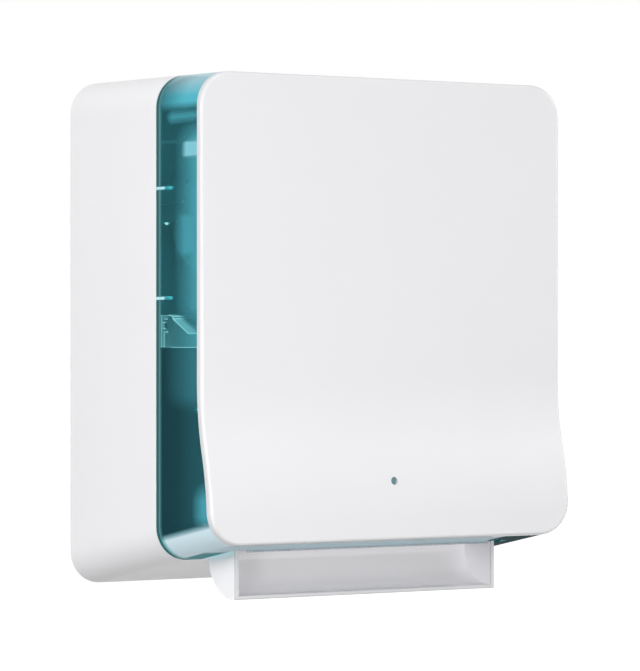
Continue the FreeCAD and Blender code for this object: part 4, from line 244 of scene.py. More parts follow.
# Feed unit frame. Back plate, two bearing plates and a beam over the outlet, moulded in black plastic with a
# fine spark eroded skin; their edges are broken as the mould leaves them.
FRAME_BLACK = (0.028, 0.032, 0.034)
FRAME_EDGE = 0.0004
black_plastic = plastic("black frame plastic", FRAME_BLACK, roughness=0.48, relief=0.14, tone=0.8)
for node in ("side_plate_left", "side_plate_right", "front_beam", "gear_cover"):
    dress(shell_of(node, node + "_moulding", FRAME_EDGE), black_plastic, "black_plastic", "rear_unit", node)
finish_node(black_plastic, "frame_back")

# Tear bar. A strip of stainless sheet with a punched row of teeth, brushed along its length.
# It is screwed under the beam so that the towel tears against it.
TEAR_STEEL = (0.30, 0.37, 0.41)
ALONG_BAR = (0.02, 1, 1)
tear_steel = metal("brushed tear bar steel", TEAR_STEEL, roughness=0.32, stretch=ALONG_BAR)
finish_node(tear_steel, "tear_bar")

# Outlet tray. A white scoop under the rollers, polished inside so that the towel end slides forward.
# Its ears are screwed to the bearing plates, and its front edge carries painted shade, a greyer colour.
TRAY_WHITE = (0.945, 0.93, 0.955)
TRAY_LIP_SHADE = (0.60, 0.595, 0.61)
TRAY_LIP_SHADE_DEPTHS = (-0.1722, -0.1732)


def position(tree, axis):
    place = add_node(tree, "ShaderNodeTexCoord")
    split = add_node(tree, "ShaderNodeSeparateXYZ")
    tree.links.new(place.outputs["Object"], split.inputs[0])
    return split.outputs[axis]


def shade_front_edge(made, colour, depths):
    # painted shade: the edge that faces forward is given a greyer colour than the rest
    tree = made.node_tree
    base = tree.nodes["Principled BSDF"].inputs["Base Color"]
    edge = ramp(tree, position(tree, "Y"), 0.0, 1.0, *depths)
    tree.links.new(mix_colours(tree, edge, base.links[0].from_socket, colour), base)


tray_plastic = plastic("polished tray plastic", TRAY_WHITE, roughness=0.16, grain=1600.0, relief=0.015, coat=0.4)
shade_front_edge(tray_plastic, TRAY_LIP_SHADE, TRAY_LIP_SHADE_DEPTHS)
tray = shell_of("outlet_tray", "outlet_tray_scoop", PART_LINE_ROUND)
dress(tray, tray_plastic, "tray_plastic", "rear_unit", "outlet_tray")

# Drive and pressure rollers. Ground steel shafts in sintered bushes and sprung blocks; the drive roller has a
# plastic core, and both run on ribbed rubber sleeves that grip the towel.
RUBBER = (0.055, 0.057, 0.060)
RUBBER_ROUGHNESS = 0.72
DUST_SHARE = 1.9
DUST_SCALE = 60.0
DUST_RANGE = (0.45, 0.8)
RIB_SPACING = 0.0016
RIB_RELIEF = 0.7
RIB_HEIGHT = 0.0003
SHAFT_STEEL = (0.62, 0.63, 0.65)
ALONG_SHAFT = (0.03, 1, 1)
BRONZE = (0.52, 0.36, 0.20)
SPRING_STEEL = (0.50, 0.50, 0.52)
CORE_GREY = (0.20, 0.21, 0.22)
HUB_GREY = (0.42, 0.44, 0.46)
ground_steel = metal("ground shaft steel", SHAFT_STEEL, roughness=0.18, stretch=ALONG_SHAFT)
bronze = metal("sintered bronze", BRONZE, roughness=0.42, scale=2400.0, stain=0.7)
spring_steel = metal("spring wire", SPRING_STEEL, roughness=0.28, scale=1500.0, stain=0.8)
core_plastic = plastic("roller core plastic", CORE_GREY, roughness=0.42, relief=0.1, tone=0.85)
hub_plastic = plastic("grey hub plastic", HUB_GREY, roughness=0.38, relief=0.08, tone=0.92)


def rubber(name, colour, spacing):
    # matt rubber with turned ribs along the roller and a bloom of paper dust in patches
    made, tree, shader = start_material(name)
    dusty = tuple(channel * DUST_SHARE for channel in colour)
    patches = blend_colours(tree, noise_of(tree, DUST_SCALE), colour, dusty, *DUST_RANGE)
    tree.links.new(patches, shader.inputs["Base Color"])
    shader.inputs["Roughness"].default_value = RUBBER_ROUGHNESS
    place = add_node(tree, "ShaderNodeTexCoord")
    ribs = add_node(tree, "ShaderNodeTexWave", wave_type="BANDS", bands_direction="X", wave_profile="SIN")
    # Blender repeats such bands every pi / (10 * scale)
    ribs.inputs["Scale"].default_value = math.pi / (10 * spacing)
    tree.links.new(place.outputs["Object"], ribs.inputs["Vector"])
    bump_from(tree, shader, ribs.outputs["Fac"], RIB_RELIEF, RIB_HEIGHT)
    return made


grip_rubber = rubber("ribbed grip rubber", RUBBER, RIB_SPACING)
finish_node(ground_steel, "drive_shaft", "pressure_shaft", "motor_shaft", "idler_pin")
finish_node(bronze, "drive_bushes")
finish_node(spring_steel, "pressure_springs")
finish_node(core_plastic, "drive_core")
finish_node(grip_rubber, "drive_sleeves", "pressure_sleeves")
finish_node(hub_plastic, "pressure_blocks")

# Gear motor and gears. A drawn steel can with a dark plastic end, and three moulded gears in dark acetal that
# shine where their teeth have run.
CAN_STEEL = (0.55, 0.56, 0.57)
CAN_GLOSS = (0.26, 0.38)
CAN_LINES = 500.0
CAN_RELIEF = 0.05
ALONG_CAN = (0.04, 1, 1)
CAN_END = 0.0585
GEAR_DARK = (0.075, 0.078, 0.082)
gear_plastic = plastic("dark gear plastic", GEAR_DARK, roughness=0.30, grain=500.0, relief=0.06, tone=0.8,
                       coat=0.2)


def combine(tree, first, second, operation="MULTIPLY"):
    # first and second are numbers or sockets
    node = add_node(tree, "ShaderNodeMath", operation=operation)
    for socket, value in zip(node.inputs, (first, second)):
        if isinstance(value, float):
            socket.default_value = value
        else:
            tree.links.new(value, socket)
    return node.outputs[0]


def between(tree, value, low, high):
    # one between low and high, none outside
    over = combine(tree, value, low, "GREATER_THAN")
    return combine(tree, over, combine(tree, value, high, "LESS_THAN"))


def motor_can(name, colour, cap_colour, cap_end):
    # drawn steel with a plastic cap on the end towards the middle of the dispenser
    made, tree, shader = start_material(name)
    cap = between(tree, position(tree, "X"), 0.0, cap_end)
    tree.links.new(blend_colours(tree, cap, colour, cap_colour, 0.0, 1.0), shader.inputs["Base Color"])
    tree.links.new(opposite(tree, cap), shader.inputs["Metallic"])
    lines = noise_of(tree, CAN_LINES, FINE_DETAIL, ALONG_CAN)
    tree.links.new(ramp(tree, lines, *CAN_GLOSS), shader.inputs["Roughness"])
    bump_from(tree, shader, lines, CAN_RELIEF)
    return made


motor_steel = motor_can("motor can steel", CAN_STEEL, FRAME_BLACK, CAN_END)
finish_node(motor_steel, "gear_motor")
finish_node(gear_plastic, "drive_gear", "idler_gear", "pinion")

# Battery box. A white moulded box on the shelf with a hinged lid on a steel rod, and nickel plated contacts.
# Four cells lie in it two by two, each in a printed film jacket between bare steel ends.
BOX_WHITE = (0.80, 0.80, 0.80)
CELL_ENDS = (-0.1103, -0.0488)
CELL_GREY = (0.34, 0.36, 0.38)
CELL_BAND = (0.05, 0.22, 0.30)
CELL_BAND_SHARE = 0.26
CELL_BARE = 0.0014
FILM_SCALE = 80.0
FILM_GLOSS = (0.20, 0.30)
FILM_COAT = 0.5
CONTACT_NICKEL = (0.66, 0.64, 0.58)
BOX_EDGE = 0.0007
BOX_EDGE_GREY = (0.34, 0.35, 0.36)
BOX_EDGE_GLOW = 0.85
BOX_END_GLOW = 0.05
BOX_TOP_GLOW = 0.36
GLOW_END = (-0.1120, -0.1065)
GLOW_SLOPES = (0.80, 0.90)
box_plastic = plastic("white box plastic", BOX_WHITE, roughness=0.42, grain=700.0, relief=0.10, tone=0.97)
contact_nickel = metal("contact nickel", CONTACT_NICKEL, roughness=0.22, scale=900.0, stain=0.85)


def slope(tree, axis):
    place = add_node(tree, "ShaderNodeTexCoord")
    split = add_node(tree, "ShaderNodeSeparateXYZ")
    tree.links.new(place.outputs["Normal"], split.inputs[0])
    return split.outputs[axis]


def paint_glow_from_left(made, light, top_light):
    # painted light: the box's left end glows, most of all on its top, in place of light that comes in through the
    # hood's left wall
    tree = made.node_tree
    shader = tree.nodes["Principled BSDF"]
    strength = ramp(tree, slope(tree, "Z"), light, top_light, *GLOW_SLOPES)
    near = ramp(tree, position(tree, "X"), 1.0, 0.0, *GLOW_END)
    tree.links.new(combine(tree, strength, near), shader.inputs["Emission Strength"])
    shader.inputs["Emission Color"].default_value = (1, 1, 1, 1)
    return made


def cell_jacket(name):
    # a printed film: plain grey with one dark band at an end, and bare steel at both ends of each cell
    made, tree, shader = start_material(name)
    low, high = CELL_ENDS
    along = add_node(tree, "ShaderNodeMath", operation="WRAP")
    along.inputs[1].default_value = high
    along.inputs[2].default_value = low
    tree.links.new(position(tree, "X"), along.inputs[0])
    stripe = between(tree, along.outputs[0], low, low + (high - low) * CELL_BAND_SHARE)
    film = between(tree, along.outputs[0], low + CELL_BARE, high - CELL_BARE)
    printed = mix_colours(tree, stripe, CELL_GREY, CELL_BAND)
    tree.links.new(mix_colours(tree, film, STEEL, printed), shader.inputs["Base Color"])
    tree.links.new(opposite(tree, film), shader.inputs["Metallic"])
    tree.links.new(ramp(tree, noise_of(tree, FILM_SCALE), *FILM_GLOSS), shader.inputs["Roughness"])
    shader.inputs["Coat Weight"].default_value = FILM_COAT
    return made


# the box and its lid get a painted glow at their left end, and their rounded edges a painted highlight, a grey
# that glows
glowing_box_plastic = plastic("white box plastic with painted glow", BOX_WHITE, roughness=0.42, grain=700.0, relief=0.10, tone=0.97)
glowing_edge_plastic = plastic("box edges with painted highlight", BOX_EDGE_GREY, roughness=0.30, relief=0.0)
box_finishes = (paint_glow_from_left(glowing_box_plastic, BOX_END_GLOW, BOX_TOP_GLOW),
                paint_glow_from_left(glowing_edge_plastic, BOX_EDGE_GLOW, BOX_EDGE_GLOW))
for node, rides_on in (("battery_box", "rear_unit"), ("battery_lid", "lid")):
    moulding = shell_of(node, node + "_moulding", BOX_EDGE, finishes=box_finishes)
    dress(moulding, box_plastic, "white_plastic", rides_on, node)
moulding = shell_of("electronics_cover", "electronics_cover_moulding", FRAME_EDGE)
dress(moulding, box_plastic, "white_plastic", "rear_unit", "electronics_cover")
finish_node(cell_jacket("cell jacket film"), "batteries")
finish_node(contact_nickel, "battery_contacts")
finish_node(zinc, "lid_rod")

# Electronics. A green glass fibre board with tinned pads on standoffs, black components, a slide switch for the
# sheet length and a small board with the towel sensor behind the window.
BOARD_GREEN = (0.012, 0.125, 0.055)
TRACE_GREEN = (0.030, 0.210, 0.095)
PAD_TIN = (0.66, 0.65, 0.60)
TRACK_SCALE = 110.0
TRACK_WIDTH = 0.045
TRACK_SHIFT = 0.37
TRACK_RELIEF = 0.2
TRACK_HEIGHT = 0.0001
BOARD_SHADE = 0.9
PAD_SCALE = 160.0
PAD_RADIUS = 0.10
MASK_ROUGHNESS = 0.28
COMPONENT_BLACK = (0.030, 0.030, 0.032)
SENSOR_RESIN = (0.020, 0.018, 0.026)
BUTTON_BLUE = (0.035, 0.165, 0.310)
MAGNET_NICKEL = (0.66, 0.65, 0.62)
component_black = plastic("component black", COMPONENT_BLACK, roughness=0.50, grain=1200.0, relief=0.08, tone=0.8)
sensor_dark = plastic("sensor resin", SENSOR_RESIN, roughness=0.10, relief=0.0, tone=0.9, coat=0.6)
button_blue = plastic("blue button plastic", BUTTON_BLUE, roughness=0.30, relief=0.05, tone=0.93)
magnet_nickel = metal("magnet nickel", MAGNET_NICKEL, roughness=0.15, scale=500.0, stain=0.95)


def board_mask(name):
    # solder mask over copper tracks: straight runs that turn square, and small tinned pads between them
    made, tree, shader = start_material(name)
    place = add_node(tree, "ShaderNodeTexCoord")
    tracks = add_node(tree, "ShaderNodeTexBrick", offset=TRACK_SHIFT, squash=1.0)
    tracks.inputs["Scale"].default_value = TRACK_SCALE
    tracks.inputs["Mortar Size"].default_value = TRACK_WIDTH
    tracks.inputs["Color1"].default_value = (*BOARD_GREEN, 1)
    tracks.inputs["Color2"].default_value = (*tuple(channel * BOARD_SHADE for channel in BOARD_GREEN), 1)
    tracks.inputs["Mortar"].default_value = (*TRACE_GREEN, 1)
    tree.links.new(place.outputs["Object"], tracks.inputs["Vector"])
    dots = add_node(tree, "ShaderNodeTexVoronoi")
    dots.inputs["Scale"].default_value = PAD_SCALE
    tree.links.new(place.outputs["Object"], dots.inputs["Vector"])
    pads = combine(tree, dots.outputs["Distance"], PAD_RADIUS, "LESS_THAN")
    tree.links.new(mix_colours(tree, pads, tracks.outputs["Color"], PAD_TIN), shader.inputs["Base Color"])
    tree.links.new(pads, shader.inputs["Metallic"])
    shader.inputs["Roughness"].default_value = MASK_ROUGHNESS
    bump_from(tree, shader, tracks.outputs["Fac"], TRACK_RELIEF, TRACK_HEIGHT)
    return made


finish_node(board_mask("board solder mask"), "circuit_board", "sensor_board")
finish_node(component_black, "board_parts", "length_switch")
finish_node(sensor_dark, "sensor_parts")
finish_node(button_blue, "feed_button", "length_slider")
finish_node(spring_steel, "button_spring")
finish_node(magnet_nickel, "cover_magnet")

# Roll arms. Two white arms with a hub each: the left is fixed, the right swings out on a steel pin and is
# pushed back by a torsion spring, so that a roll can be set between the hubs.
for node, rides_on in (("roll_arm_left", "rear_unit"), ("roll_arm_right", "swing_arm")):
    dress(shell_of(node, node + "_moulding", FRAME_EDGE), box_plastic, "white_plastic", rides_on, node)
finish_node(hub_plastic, "hub_left", "hub_right")
finish_node(zinc, "arm_bracket", "arm_pin")
finish_node(spring_steel, "arm_spring")

# Towel roll. Embossed white paper wound on a card core: its ends show the turns as fine uneven rings, and its
# rims are a little soft from handling.
ROLL_CENTRE = (0.0, -0.095, 0.098)
ROLL_R = 0.0550
ROLL_BORE_R = 0.0212
ROLL_HALF = 0.100
ROLL_RIM = 0.0012
ROLL_RIM_STEPS = 4
ROLL_STEPS = 144
ROLL_MERGE = 0.00001
PAPER = (0.86, 0.855, 0.84)
PAPER_ROUGHNESS = 0.88
PAPER_SHEEN = 0.25
RING_SCALE = 1800.0
RING_SHADE = 0.86
RING_RANGE = (0.35, 0.6)
DIMPLE_SCALE = 260.0
DIMPLE_RELIEF = 0.5
DIMPLE_HEIGHT = 0.0003
CARD = (0.42, 0.31, 0.20)


def radius_in_roll(tree):
    place = add_node(tree, "ShaderNodeTexCoord")
    shift = add_node(tree, "ShaderNodeMapping")
    shift.inputs["Location"].default_value = (0, -ROLL_CENTRE[1], -ROLL_CENTRE[2])
    shift.inputs["Scale"].default_value = (0, 1, 1)
    length = add_node(tree, "ShaderNodeVectorMath", operation="LENGTH")
    tree.links.new(place.outputs["Object"], shift.inputs["Vector"])
    tree.links.new(shift.outputs["Vector"], length.inputs[0])
    return length.outputs["Value"]


def paper(name, colour):
    # soft tissue: quilted dimples round the roll, wound rings on its ends
    made, tree, shader = start_material(name)
    rings = add_node(tree, "ShaderNodeTexNoise", noise_dimensions="1D")
    rings.inputs["Scale"].default_value = RING_SCALE
    rings.inputs["Detail"].default_value = NOISE_DETAIL
    tree.links.new(radius_in_roll(tree), rings.inputs["W"])
    shade = tuple(channel * RING_SHADE for channel in colour)
    wound = blend_colours(tree, rings.outputs["Fac"], shade, colour, *RING_RANGE)
    tree.links.new(wound, shader.inputs["Base Color"])
    shader.inputs["Roughness"].default_value = PAPER_ROUGHNESS
    shader.inputs["Sheen Weight"].default_value = PAPER_SHEEN
    dimples = add_node(tree, "ShaderNodeTexVoronoi", feature="SMOOTH_F1")
    dimples.inputs["Scale"].default_value = DIMPLE_SCALE
    place = add_node(tree, "ShaderNodeTexCoord")
    tree.links.new(place.outputs["Object"], dimples.inputs["Vector"])
    relief = combine(tree, dimples.outputs["Distance"], rings.outputs["Fac"], "ADD")
    bump_from(tree, shader, relief, DIMPLE_RELIEF, DIMPLE_HEIGHT)
    return made


def wound_roll(name):
    # an open ring of paper, spun from its section and closed
    deselect()
    bpy.ops.mesh.primitive_plane_add(size=1, location=(0, 0, 0))
    obj = bpy.context.active_object
    obj.name = name
    bpy.ops.object.mode_set(mode="EDIT")
    bpy.ops.mesh.select_all(action="SELECT")
    bpy.ops.transform.rotate(value=math.pi / 2, orient_axis="X", center_override=(0, 0, 0))
    bpy.ops.transform.resize(value=(2 * ROLL_HALF, 1, ROLL_R - ROLL_BORE_R), center_override=(0, 0, 0))
    middle = (ROLL_R + ROLL_BORE_R) / 2
    bpy.ops.transform.translate(value=(0, ROLL_CENTRE[1], ROLL_CENTRE[2] + middle))
    bpy.ops.mesh.bevel(offset=ROLL_RIM, segments=ROLL_RIM_STEPS, affect="VERTICES")
    bpy.ops.mesh.select_all(action="SELECT")
    bpy.ops.mesh.delete(type="ONLY_FACE")
    bpy.ops.mesh.select_all(action="SELECT")
    bpy.ops.mesh.spin(steps=ROLL_STEPS, angle=2 * math.pi, center=ROLL_CENTRE, axis=(1, 0, 0),
                      use_auto_merge=True)
    bpy.ops.mesh.select_all(action="SELECT")
    bpy.ops.mesh.remove_doubles(threshold=ROLL_MERGE)
    bpy.ops.mesh.normals_make_consistent(inside=False)
    bpy.ops.object.mode_set(mode="OBJECT")
    pick(obj)
    bpy.ops.object.transform_apply(location=True, rotation=True, scale=True)
    bpy.ops.object.shade_smooth_by_angle(angle=SMOOTH_ANGLE)
    return obj


roll = wound_roll("towel_roll")
dress(roll, paper("embossed towel paper", PAPER), "towel_paper", "roll", "paper_roll")
finish_node(plastic("rolled card", CARD, roughness=0.75, grain=300.0, relief=0.2, tone=0.85), "roll_core")

# Front panel. A white plate with a turned rim whose foot sweeps forward, screwed on from inside the hood.
# It is a shade cooler than the casing, and its polished face picks up soft reflections.
PANEL_WHITE = (0.672, 0.672, 0.685)
panel_plastic = plastic("panel plastic", PANEL_WHITE, roughness=0.24, grain=1400.0, relief=0.02, tone=0.992,
                        coat=0.15)
panel = shell_of("front_panel", "front_panel_skin", 0.0)
dress(panel, panel_plastic, "white_plastic", "cover", "front_panel")

# Hood. A deep frame of clear teal plastic between casing and panel: its walls are polished inside and out,
# and the parts behind it show through. Two white hinge arms and a steel strike are screwed inside it.
HOOD_TINT = (0.56, 0.925, 0.955)
HOOD_BODY = (0.10, 0.51, 0.62)
# painted reflection: a pale colour on the lower corners and the crown, and a glow on the lower corners
HOOD_PALE_REFLECTION = (0.56, 0.70, 0.76)
HOOD_HAZE = 0.09
HAZE_ROUGHNESS = 0.5
HOOD_POLISH = 0.05
SKIN_BLEND = 0.5
SKIN_POWER = 8.0
FLAT_GLOSS = 0.1
# painted shade on the underside: dark at the right of the outlet, darker teal at its left
UNDERSIDE_SHADE_DARK = (0.005, 0.044, 0.050)
UNDERSIDE_SHADE_TEAL = (0.08, 0.27, 0.29)
UNDERSIDE_SLOPES = (0.955, 0.975)
UNDERSIDE_DEPTHS = (-0.178, -0.166)
OUTLET_SPAN = (-0.1185, 0.1045)
OUTLET_FADE = 0.0022
REFLECTION_SLOPES = (0.26, 0.48)
REFLECTION_GLOW = 0.22
LOWER_PAINT_TOP_Z = -0.10
CROWN_FOOT_Z = 0.10
CROWN_SLOPES = (0.30, 0.95)
CROWN_REFLECTION = 0.75
SOFT_EDGE = 0.006
RIM_DARK = (0.030, 0.130, 0.140)
RIM_DARK_DEPTHS = (-0.1382, -0.1374)
RIM_DARK_HAZE = 0.92
# painted highlight: the pale line beside the back rim
RIM_HIGHLIGHT = (0.15, 0.42, 0.44)
RIM_HIGHLIGHT_DEPTHS = (-0.1430, -0.1392)
RIM_HIGHLIGHT_HAZE = 0.52
FIN_HEIGHTS = (0.1048, 0.0222)
FIN_HALF = 0.0011
FIN_END = -0.1485
FIN_FADE = 0.0033
# painted light: pale streaks over the guide fins
FIN_PAINTED_LIGHT = (0.50, 0.86, 0.93)
FIN_HAZE = 0.96
# painted highlight: a pale patch on the walls near the panel
GLINT = (0.24, 0.60, 0.70)
GLINT_HEIGHTS = (0.1265, 0.1385)
GLINT_DEPTHS = (-0.169, -0.178)
GLINT_SOFTNESS = 0.0015
GLINT_HAZE = 0.92
# each cloud of painted light: lowest and highest place, softness, depth where it begins, depth where it is full,
# strength
PAINTED_LIGHT_CLOUDS = (
    (0.1640, 0.215, 0.004, -0.120, -0.175, 0.88),
    (0.1535, 0.1610, 0.004, -0.147, -0.157, 0.56),
    (0.1368, 0.1408, 0.0015, -0.138, -0.142, 0.18),
    (0.005, 0.150, 0.010, -0.155, -0.192, 0.56),
    (0.0515, 0.0865, 0.005, -0.157, -0.176, 0.56),
    (-0.062, 0.010, 0.012, -0.130, -0.190, 0.32),
    (-0.170, -0.050, 0.010, -0.120, -0.190, 0.15),
    (-0.150, -0.118, 0.010, -0.181, -0.202, 0.62),
)


def band(tree, value, low, high, softness):
    # one between low and high, fading out at both
    rise = ramp(tree, value, 0.0, 1.0, low - softness, low + softness)
    fall = ramp(tree, value, 1.0, 0.0, high - softness, high + softness)
    return combine(tree, rise, fall)


def lay_over(tree, look, mask, colour, haze):
    # look is a colour and how hazy it is; where mask is one, the new colour and at least its haze take over
    return mix_colours(tree, mask, look[0], colour), combine(tree, look[1], combine(tree, mask, haze), "MAXIMUM")


def haze_and_painted_light_on_walls(tree):
    # painted light: soft pale clouds and a painted highlight patch that gather towards the panel, on the tinted
    # body
    depth = position(tree, "Y")
    height = position(tree, "Z")
    haze_and_light_clouds = HOOD_HAZE
    for low, high, softness, begins, full, strength in PAINTED_LIGHT_CLOUDS:
        gathered = ramp(tree, depth, 0.0, strength, begins, full)
        haze_and_light_clouds = combine(tree, haze_and_light_clouds, combine(tree, band(tree, height, low, high, softness), gathered), "MAXIMUM")
    patch = band(tree, height, *GLINT_HEIGHTS, GLINT_SOFTNESS)
    glint = combine(tree, patch, ramp(tree, depth, 0.0, 1.0, *GLINT_DEPTHS))
    return lay_over(tree, (HOOD_BODY, haze_and_light_clouds), glint, GLINT, GLINT_HAZE)


def painted_light_and_shade_underneath(tree, look):
    # painted reflection: the lower corners and the crown are painted pale, and the pale lower corners also glow as
    # painted light; the underside is painted shade, teal at the left of the outlet and dark at its right. It also
    # gives back the painted lower reflection, which glows, and the flat underside, which has no gloss.
    across = position(tree, "X")
    depth = position(tree, "Y")
    height = position(tree, "Z")
    up = slope(tree, "Z")
    down = combine(tree, up, -1.0)
    low_down = ramp(tree, height, 1.0, 0.0, LOWER_PAINT_TOP_Z - SOFT_EDGE, LOWER_PAINT_TOP_Z)
    high_up = ramp(tree, height, 0.0, 1.0, CROWN_FOOT_Z, CROWN_FOOT_Z + SOFT_EDGE)
    lower_reflection = combine(tree, ramp(tree, down, 0.0, 1.0, *REFLECTION_SLOPES), low_down)
    crown_reflection = combine(tree, ramp(tree, up, 0.0, CROWN_REFLECTION, *CROWN_SLOPES), high_up)
    look = lay_over(tree, look, combine(tree, lower_reflection, crown_reflection, "MAXIMUM"), HOOD_PALE_REFLECTION, 1.0)
    flat = combine(tree, ramp(tree, down, 0.0, 1.0, *UNDERSIDE_SLOPES), low_down)
    # painted shade: darker teal at the left of the outlet, dark at its right
    span_left, span_right = OUTLET_SPAN
    left = ramp(tree, across, 1.0, 0.0, span_left - OUTLET_FADE, span_left + OUTLET_FADE)
    left = combine(tree, combine(tree, flat, left), ramp(tree, depth, 0.0, 1.0, *UNDERSIDE_DEPTHS))
    right = ramp(tree, across, 0.0, 1.0, span_right - OUTLET_FADE, span_right + OUTLET_FADE)
    right = combine(tree, flat, right)
    look = lay_over(tree, look, left, UNDERSIDE_SHADE_TEAL, 1.0)
    return look, right, lower_reflection, flat


def rim_and_painted_light(tree, look):
    # painted highlight: a pale line beside the dark back rim; painted light: a pale streak at the height of each
    # guide fin
    depth = position(tree, "Y")
    height = position(tree, "Z")
    look = lay_over(tree, look, ramp(tree, depth, 0.0, 1.0, *RIM_HIGHLIGHT_DEPTHS), RIM_HIGHLIGHT, RIM_HIGHLIGHT_HAZE)
    look = lay_over(tree, look, ramp(tree, depth, 0.0, 1.0, *RIM_DARK_DEPTHS), RIM_DARK, RIM_DARK_HAZE)
    for fin in FIN_HEIGHTS:
        streak = combine(tree, band(tree, height, fin - FIN_HALF, fin + FIN_HALF, FIN_HALF / 3),
                         ramp(tree, depth, 0.0, 1.0, FIN_END, FIN_END + FIN_FADE))
        look = lay_over(tree, look, streak, FIN_PAINTED_LIGHT, FIN_HAZE)
    return look


def clear_plastic(name):
    # most light passes on in the tint, the haze stops some where it enters, and the skin reflects at low angles
    made, tree, shader = start_material(name)
    shader.inputs["Roughness"].default_value = HAZE_ROUGHNESS
    shader.inputs["Specular IOR Level"].default_value = 0.0
    look, dark, lower_reflection, flat = painted_light_and_shade_underneath(tree, haze_and_painted_light_on_walls(tree))
    # painted shade: the underside at the right of the outlet is laid over dark
    colour, haze = lay_over(tree, rim_and_painted_light(tree, look), dark, UNDERSIDE_SHADE_DARK, 1.0)
    tree.links.new(colour, shader.inputs["Base Color"])
    # painted light: the pale lower corners glow
    tree.links.new(colour, shader.inputs["Emission Color"])
    tree.links.new(combine(tree, lower_reflection, REFLECTION_GLOW), shader.inputs["Emission Strength"])
    clear = add_node(tree, "ShaderNodeBsdfTransparent")
    clear.inputs["Color"].default_value = (*HOOD_TINT, 1)
    side = add_node(tree, "ShaderNodeNewGeometry")
    entering = opposite(tree, side.outputs["Backfacing"])
    skin = add_node(tree, "ShaderNodeBsdfGlossy")
    skin.inputs["Roughness"].default_value = HOOD_POLISH
    edge = add_node(tree, "ShaderNodeLayerWeight")
    edge.inputs["Blend"].default_value = SKIN_BLEND
    steep = combine(tree, edge.outputs["Facing"], SKIN_POWER, "POWER")
    gloss = combine(tree, combine(tree, steep, entering), ramp(tree, flat, 1.0, FLAT_GLOSS, 0.0, 1.0))
    through = clear.outputs[0]
    for share, layer in ((combine(tree, haze, entering), shader), (gloss, skin)):
        mix = add_node(tree, "ShaderNodeMixShader")
        tree.links.new(share, mix.inputs[0])
        tree.links.new(through, mix.inputs[1])
        tree.links.new(layer.outputs[0], mix.inputs[2])
        through = mix.outputs[0]
    tree.links.new(through, tree.nodes["Material Output"].inputs["Surface"])
    return made


teal_plastic = clear_plastic("clear teal plastic")
hood = shell_of("hood", "hood_shell", PART_LINE_ROUND)
dress(hood, teal_plastic, "teal_clear", "cover", "hood")
hinge_arms = shell_of("hinge_arms", "hinge_arm_mouldings", FRAME_EDGE)
dress(hinge_arms, box_plastic, "white_plastic", "cover", "hinge_arms")
finish_node(zinc, "lock_strike")

# Sensor window. A smoked plug with a polished face behind a small round hole near the foot of the panel.
# It is pressed into the panel from behind.
WINDOW_SMOKE = (0.10, 0.215, 0.250)
window_plastic = plastic("smoked window plastic", WINDOW_SMOKE, roughness=0.12, relief=0.0, coat=0.5)
finish_node(window_plastic, "sensor_window")

# Camera and light. The camera stands at the left front, level with the dispenser, behind a long lens. Large
# softboxes light it from the left, the front, the right and the top, two low ones reach into the tray, and the
# floor and the surroundings are plain and pale.
LONG_SIDE_PX = 671
FOCAL_PX = 3404.3
SENSOR_MM = 36.0
CAMERA_ANGLE = math.radians(32)
CAMERA_PLACE = (-1.4153, -2.3699, -0.0057)
FLOOR_Z = -0.30
FLOOR_SIZE = 60
FLOOR_GREY = (0.34, 0.34, 0.34)
FLOOR_ROUGHNESS = 0.9
FLOOR_GLOW = 0.86
SKY_LIGHT = 0.54
TRAY_PLACE = (0.0, -0.15, -0.185)

camera_data = bpy.data.cameras.new("photo_camera")
camera = bpy.data.objects.new("photo_camera", camera_data)
bpy.context.scene.collection.objects.link(camera)
camera_data.sensor_width = SENSOR_MM
camera_data.lens = FOCAL_PX / LONG_SIDE_PX * SENSOR_MM
camera.location = CAMERA_PLACE
heading = Vector((math.sin(CAMERA_ANGLE), math.cos(CAMERA_ANGLE), 0))
camera.rotation_mode = "QUATERNION"
camera.rotation_quaternion = heading.to_track_quat("-Z", "Y")
bpy.context.scene.camera = camera


def seen_directly(tree):
    # one for the camera's rays, and for those that polished or clear surfaces send on
    path = add_node(tree, "ShaderNodeLightPath")
    straight = combine(tree, path.outputs["Is Camera Ray"], path.outputs["Is Glossy Ray"], "MAXIMUM")
    return combine(tree, straight, path.outputs["Is Transmission Ray"], "MAXIMUM")


world = bpy.data.worlds.new("studio")
bpy.context.scene.world = world
world.use_nodes = True
tree = world.node_tree
sky = tree.nodes["Background"]
sky.inputs["Color"].default_value = (1, 1, 1, 1)
tree.links.new(ramp(tree, seen_directly(tree), SKY_LIGHT, 1.0, 0.0, 1.0), sky.inputs["Strength"])

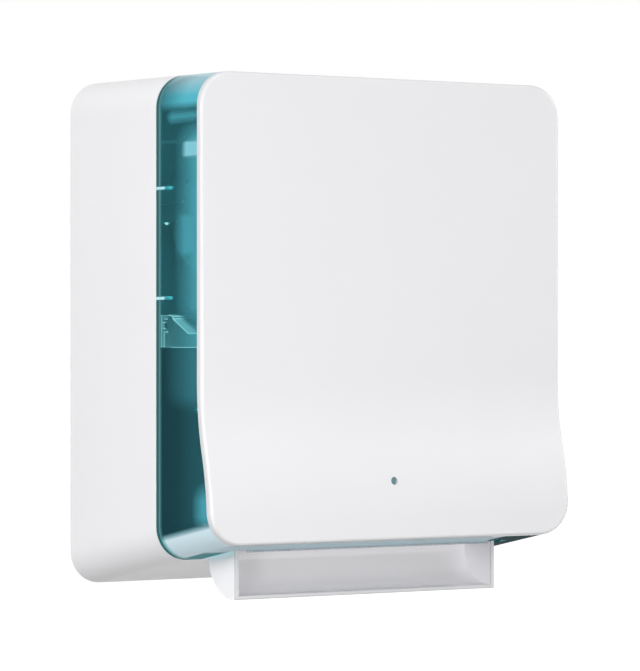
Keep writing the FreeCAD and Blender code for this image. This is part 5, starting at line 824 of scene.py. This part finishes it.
deselect()
bpy.ops.mesh.primitive_plane_add(size=FLOOR_SIZE, location=(0, 0, FLOOR_Z))
floor = bpy.context.active_object
floor.name = "floor"
floor_paint, tree, shader = start_material("floor paint")
shader.inputs["Base Color"].default_value = (*FLOOR_GREY, 1)
shader.inputs["Roughness"].default_value = FLOOR_ROUGHNESS
shader.inputs["Specular IOR Level"].default_value = 0.0
shader.inputs["Emission Color"].default_value = (1, 1, 1, 1)
glow = ramp(tree, seen_directly(tree), 0.0, FLOOR_GLOW, 0.0, 1.0)
tree.links.new(glow, shader.inputs["Emission Strength"])
side = add_node(tree, "ShaderNodeNewGeometry")
through = add_node(tree, "ShaderNodeBsdfTransparent")
mix = add_node(tree, "ShaderNodeMixShader")
tree.links.new(side.outputs["Backfacing"], mix.inputs[0])
tree.links.new(shader.outputs[0], mix.inputs[1])
tree.links.new(through.outputs[0], mix.inputs[2])
tree.links.new(mix.outputs[0], tree.nodes["Material Output"].inputs["Surface"])
floor.data.materials.append(floor_paint)


def lamp(name, place, size, power, towards=(0, 0, 0)):
    # a soft rectangle of light; place, size and towards are in metres, power is in watts
    data = bpy.data.lights.new(name, "AREA")
    data.shape = "RECTANGLE"
    data.size, data.size_y = size
    data.energy = power
    obj = bpy.data.objects.new(name, data)
    bpy.context.scene.collection.objects.link(obj)
    obj.location = place
    obj.rotation_mode = "QUATERNION"
    obj.rotation_quaternion = (Vector(towards) - Vector(place)).to_track_quat("-Z", "Y")


lamp("left softbox", (-3.0, -0.9, 0.8), (1.6, 1.6), 39)
lamp("front softbox", (-0.9, -2.6, 0.9), (1.2, 0.8), 8)
lamp("right softbox", (2.2, -1.6, 0.6), (1.2, 1.2), 19)
lamp("top softbox", (0.1, -1.5, 2.4), (1.8, 1.8), 6)
lamp("tray softbox", (-0.3, -1.5, -0.10), (0.9, 0.12), 6.2, TRAY_PLACE)
lamp("low left softbox", (-1.3, -1.2, -0.15), (0.3, 0.12), 4.6, TRAY_PLACE)

bpy.context.scene.view_settings.view_transform = "Standard"
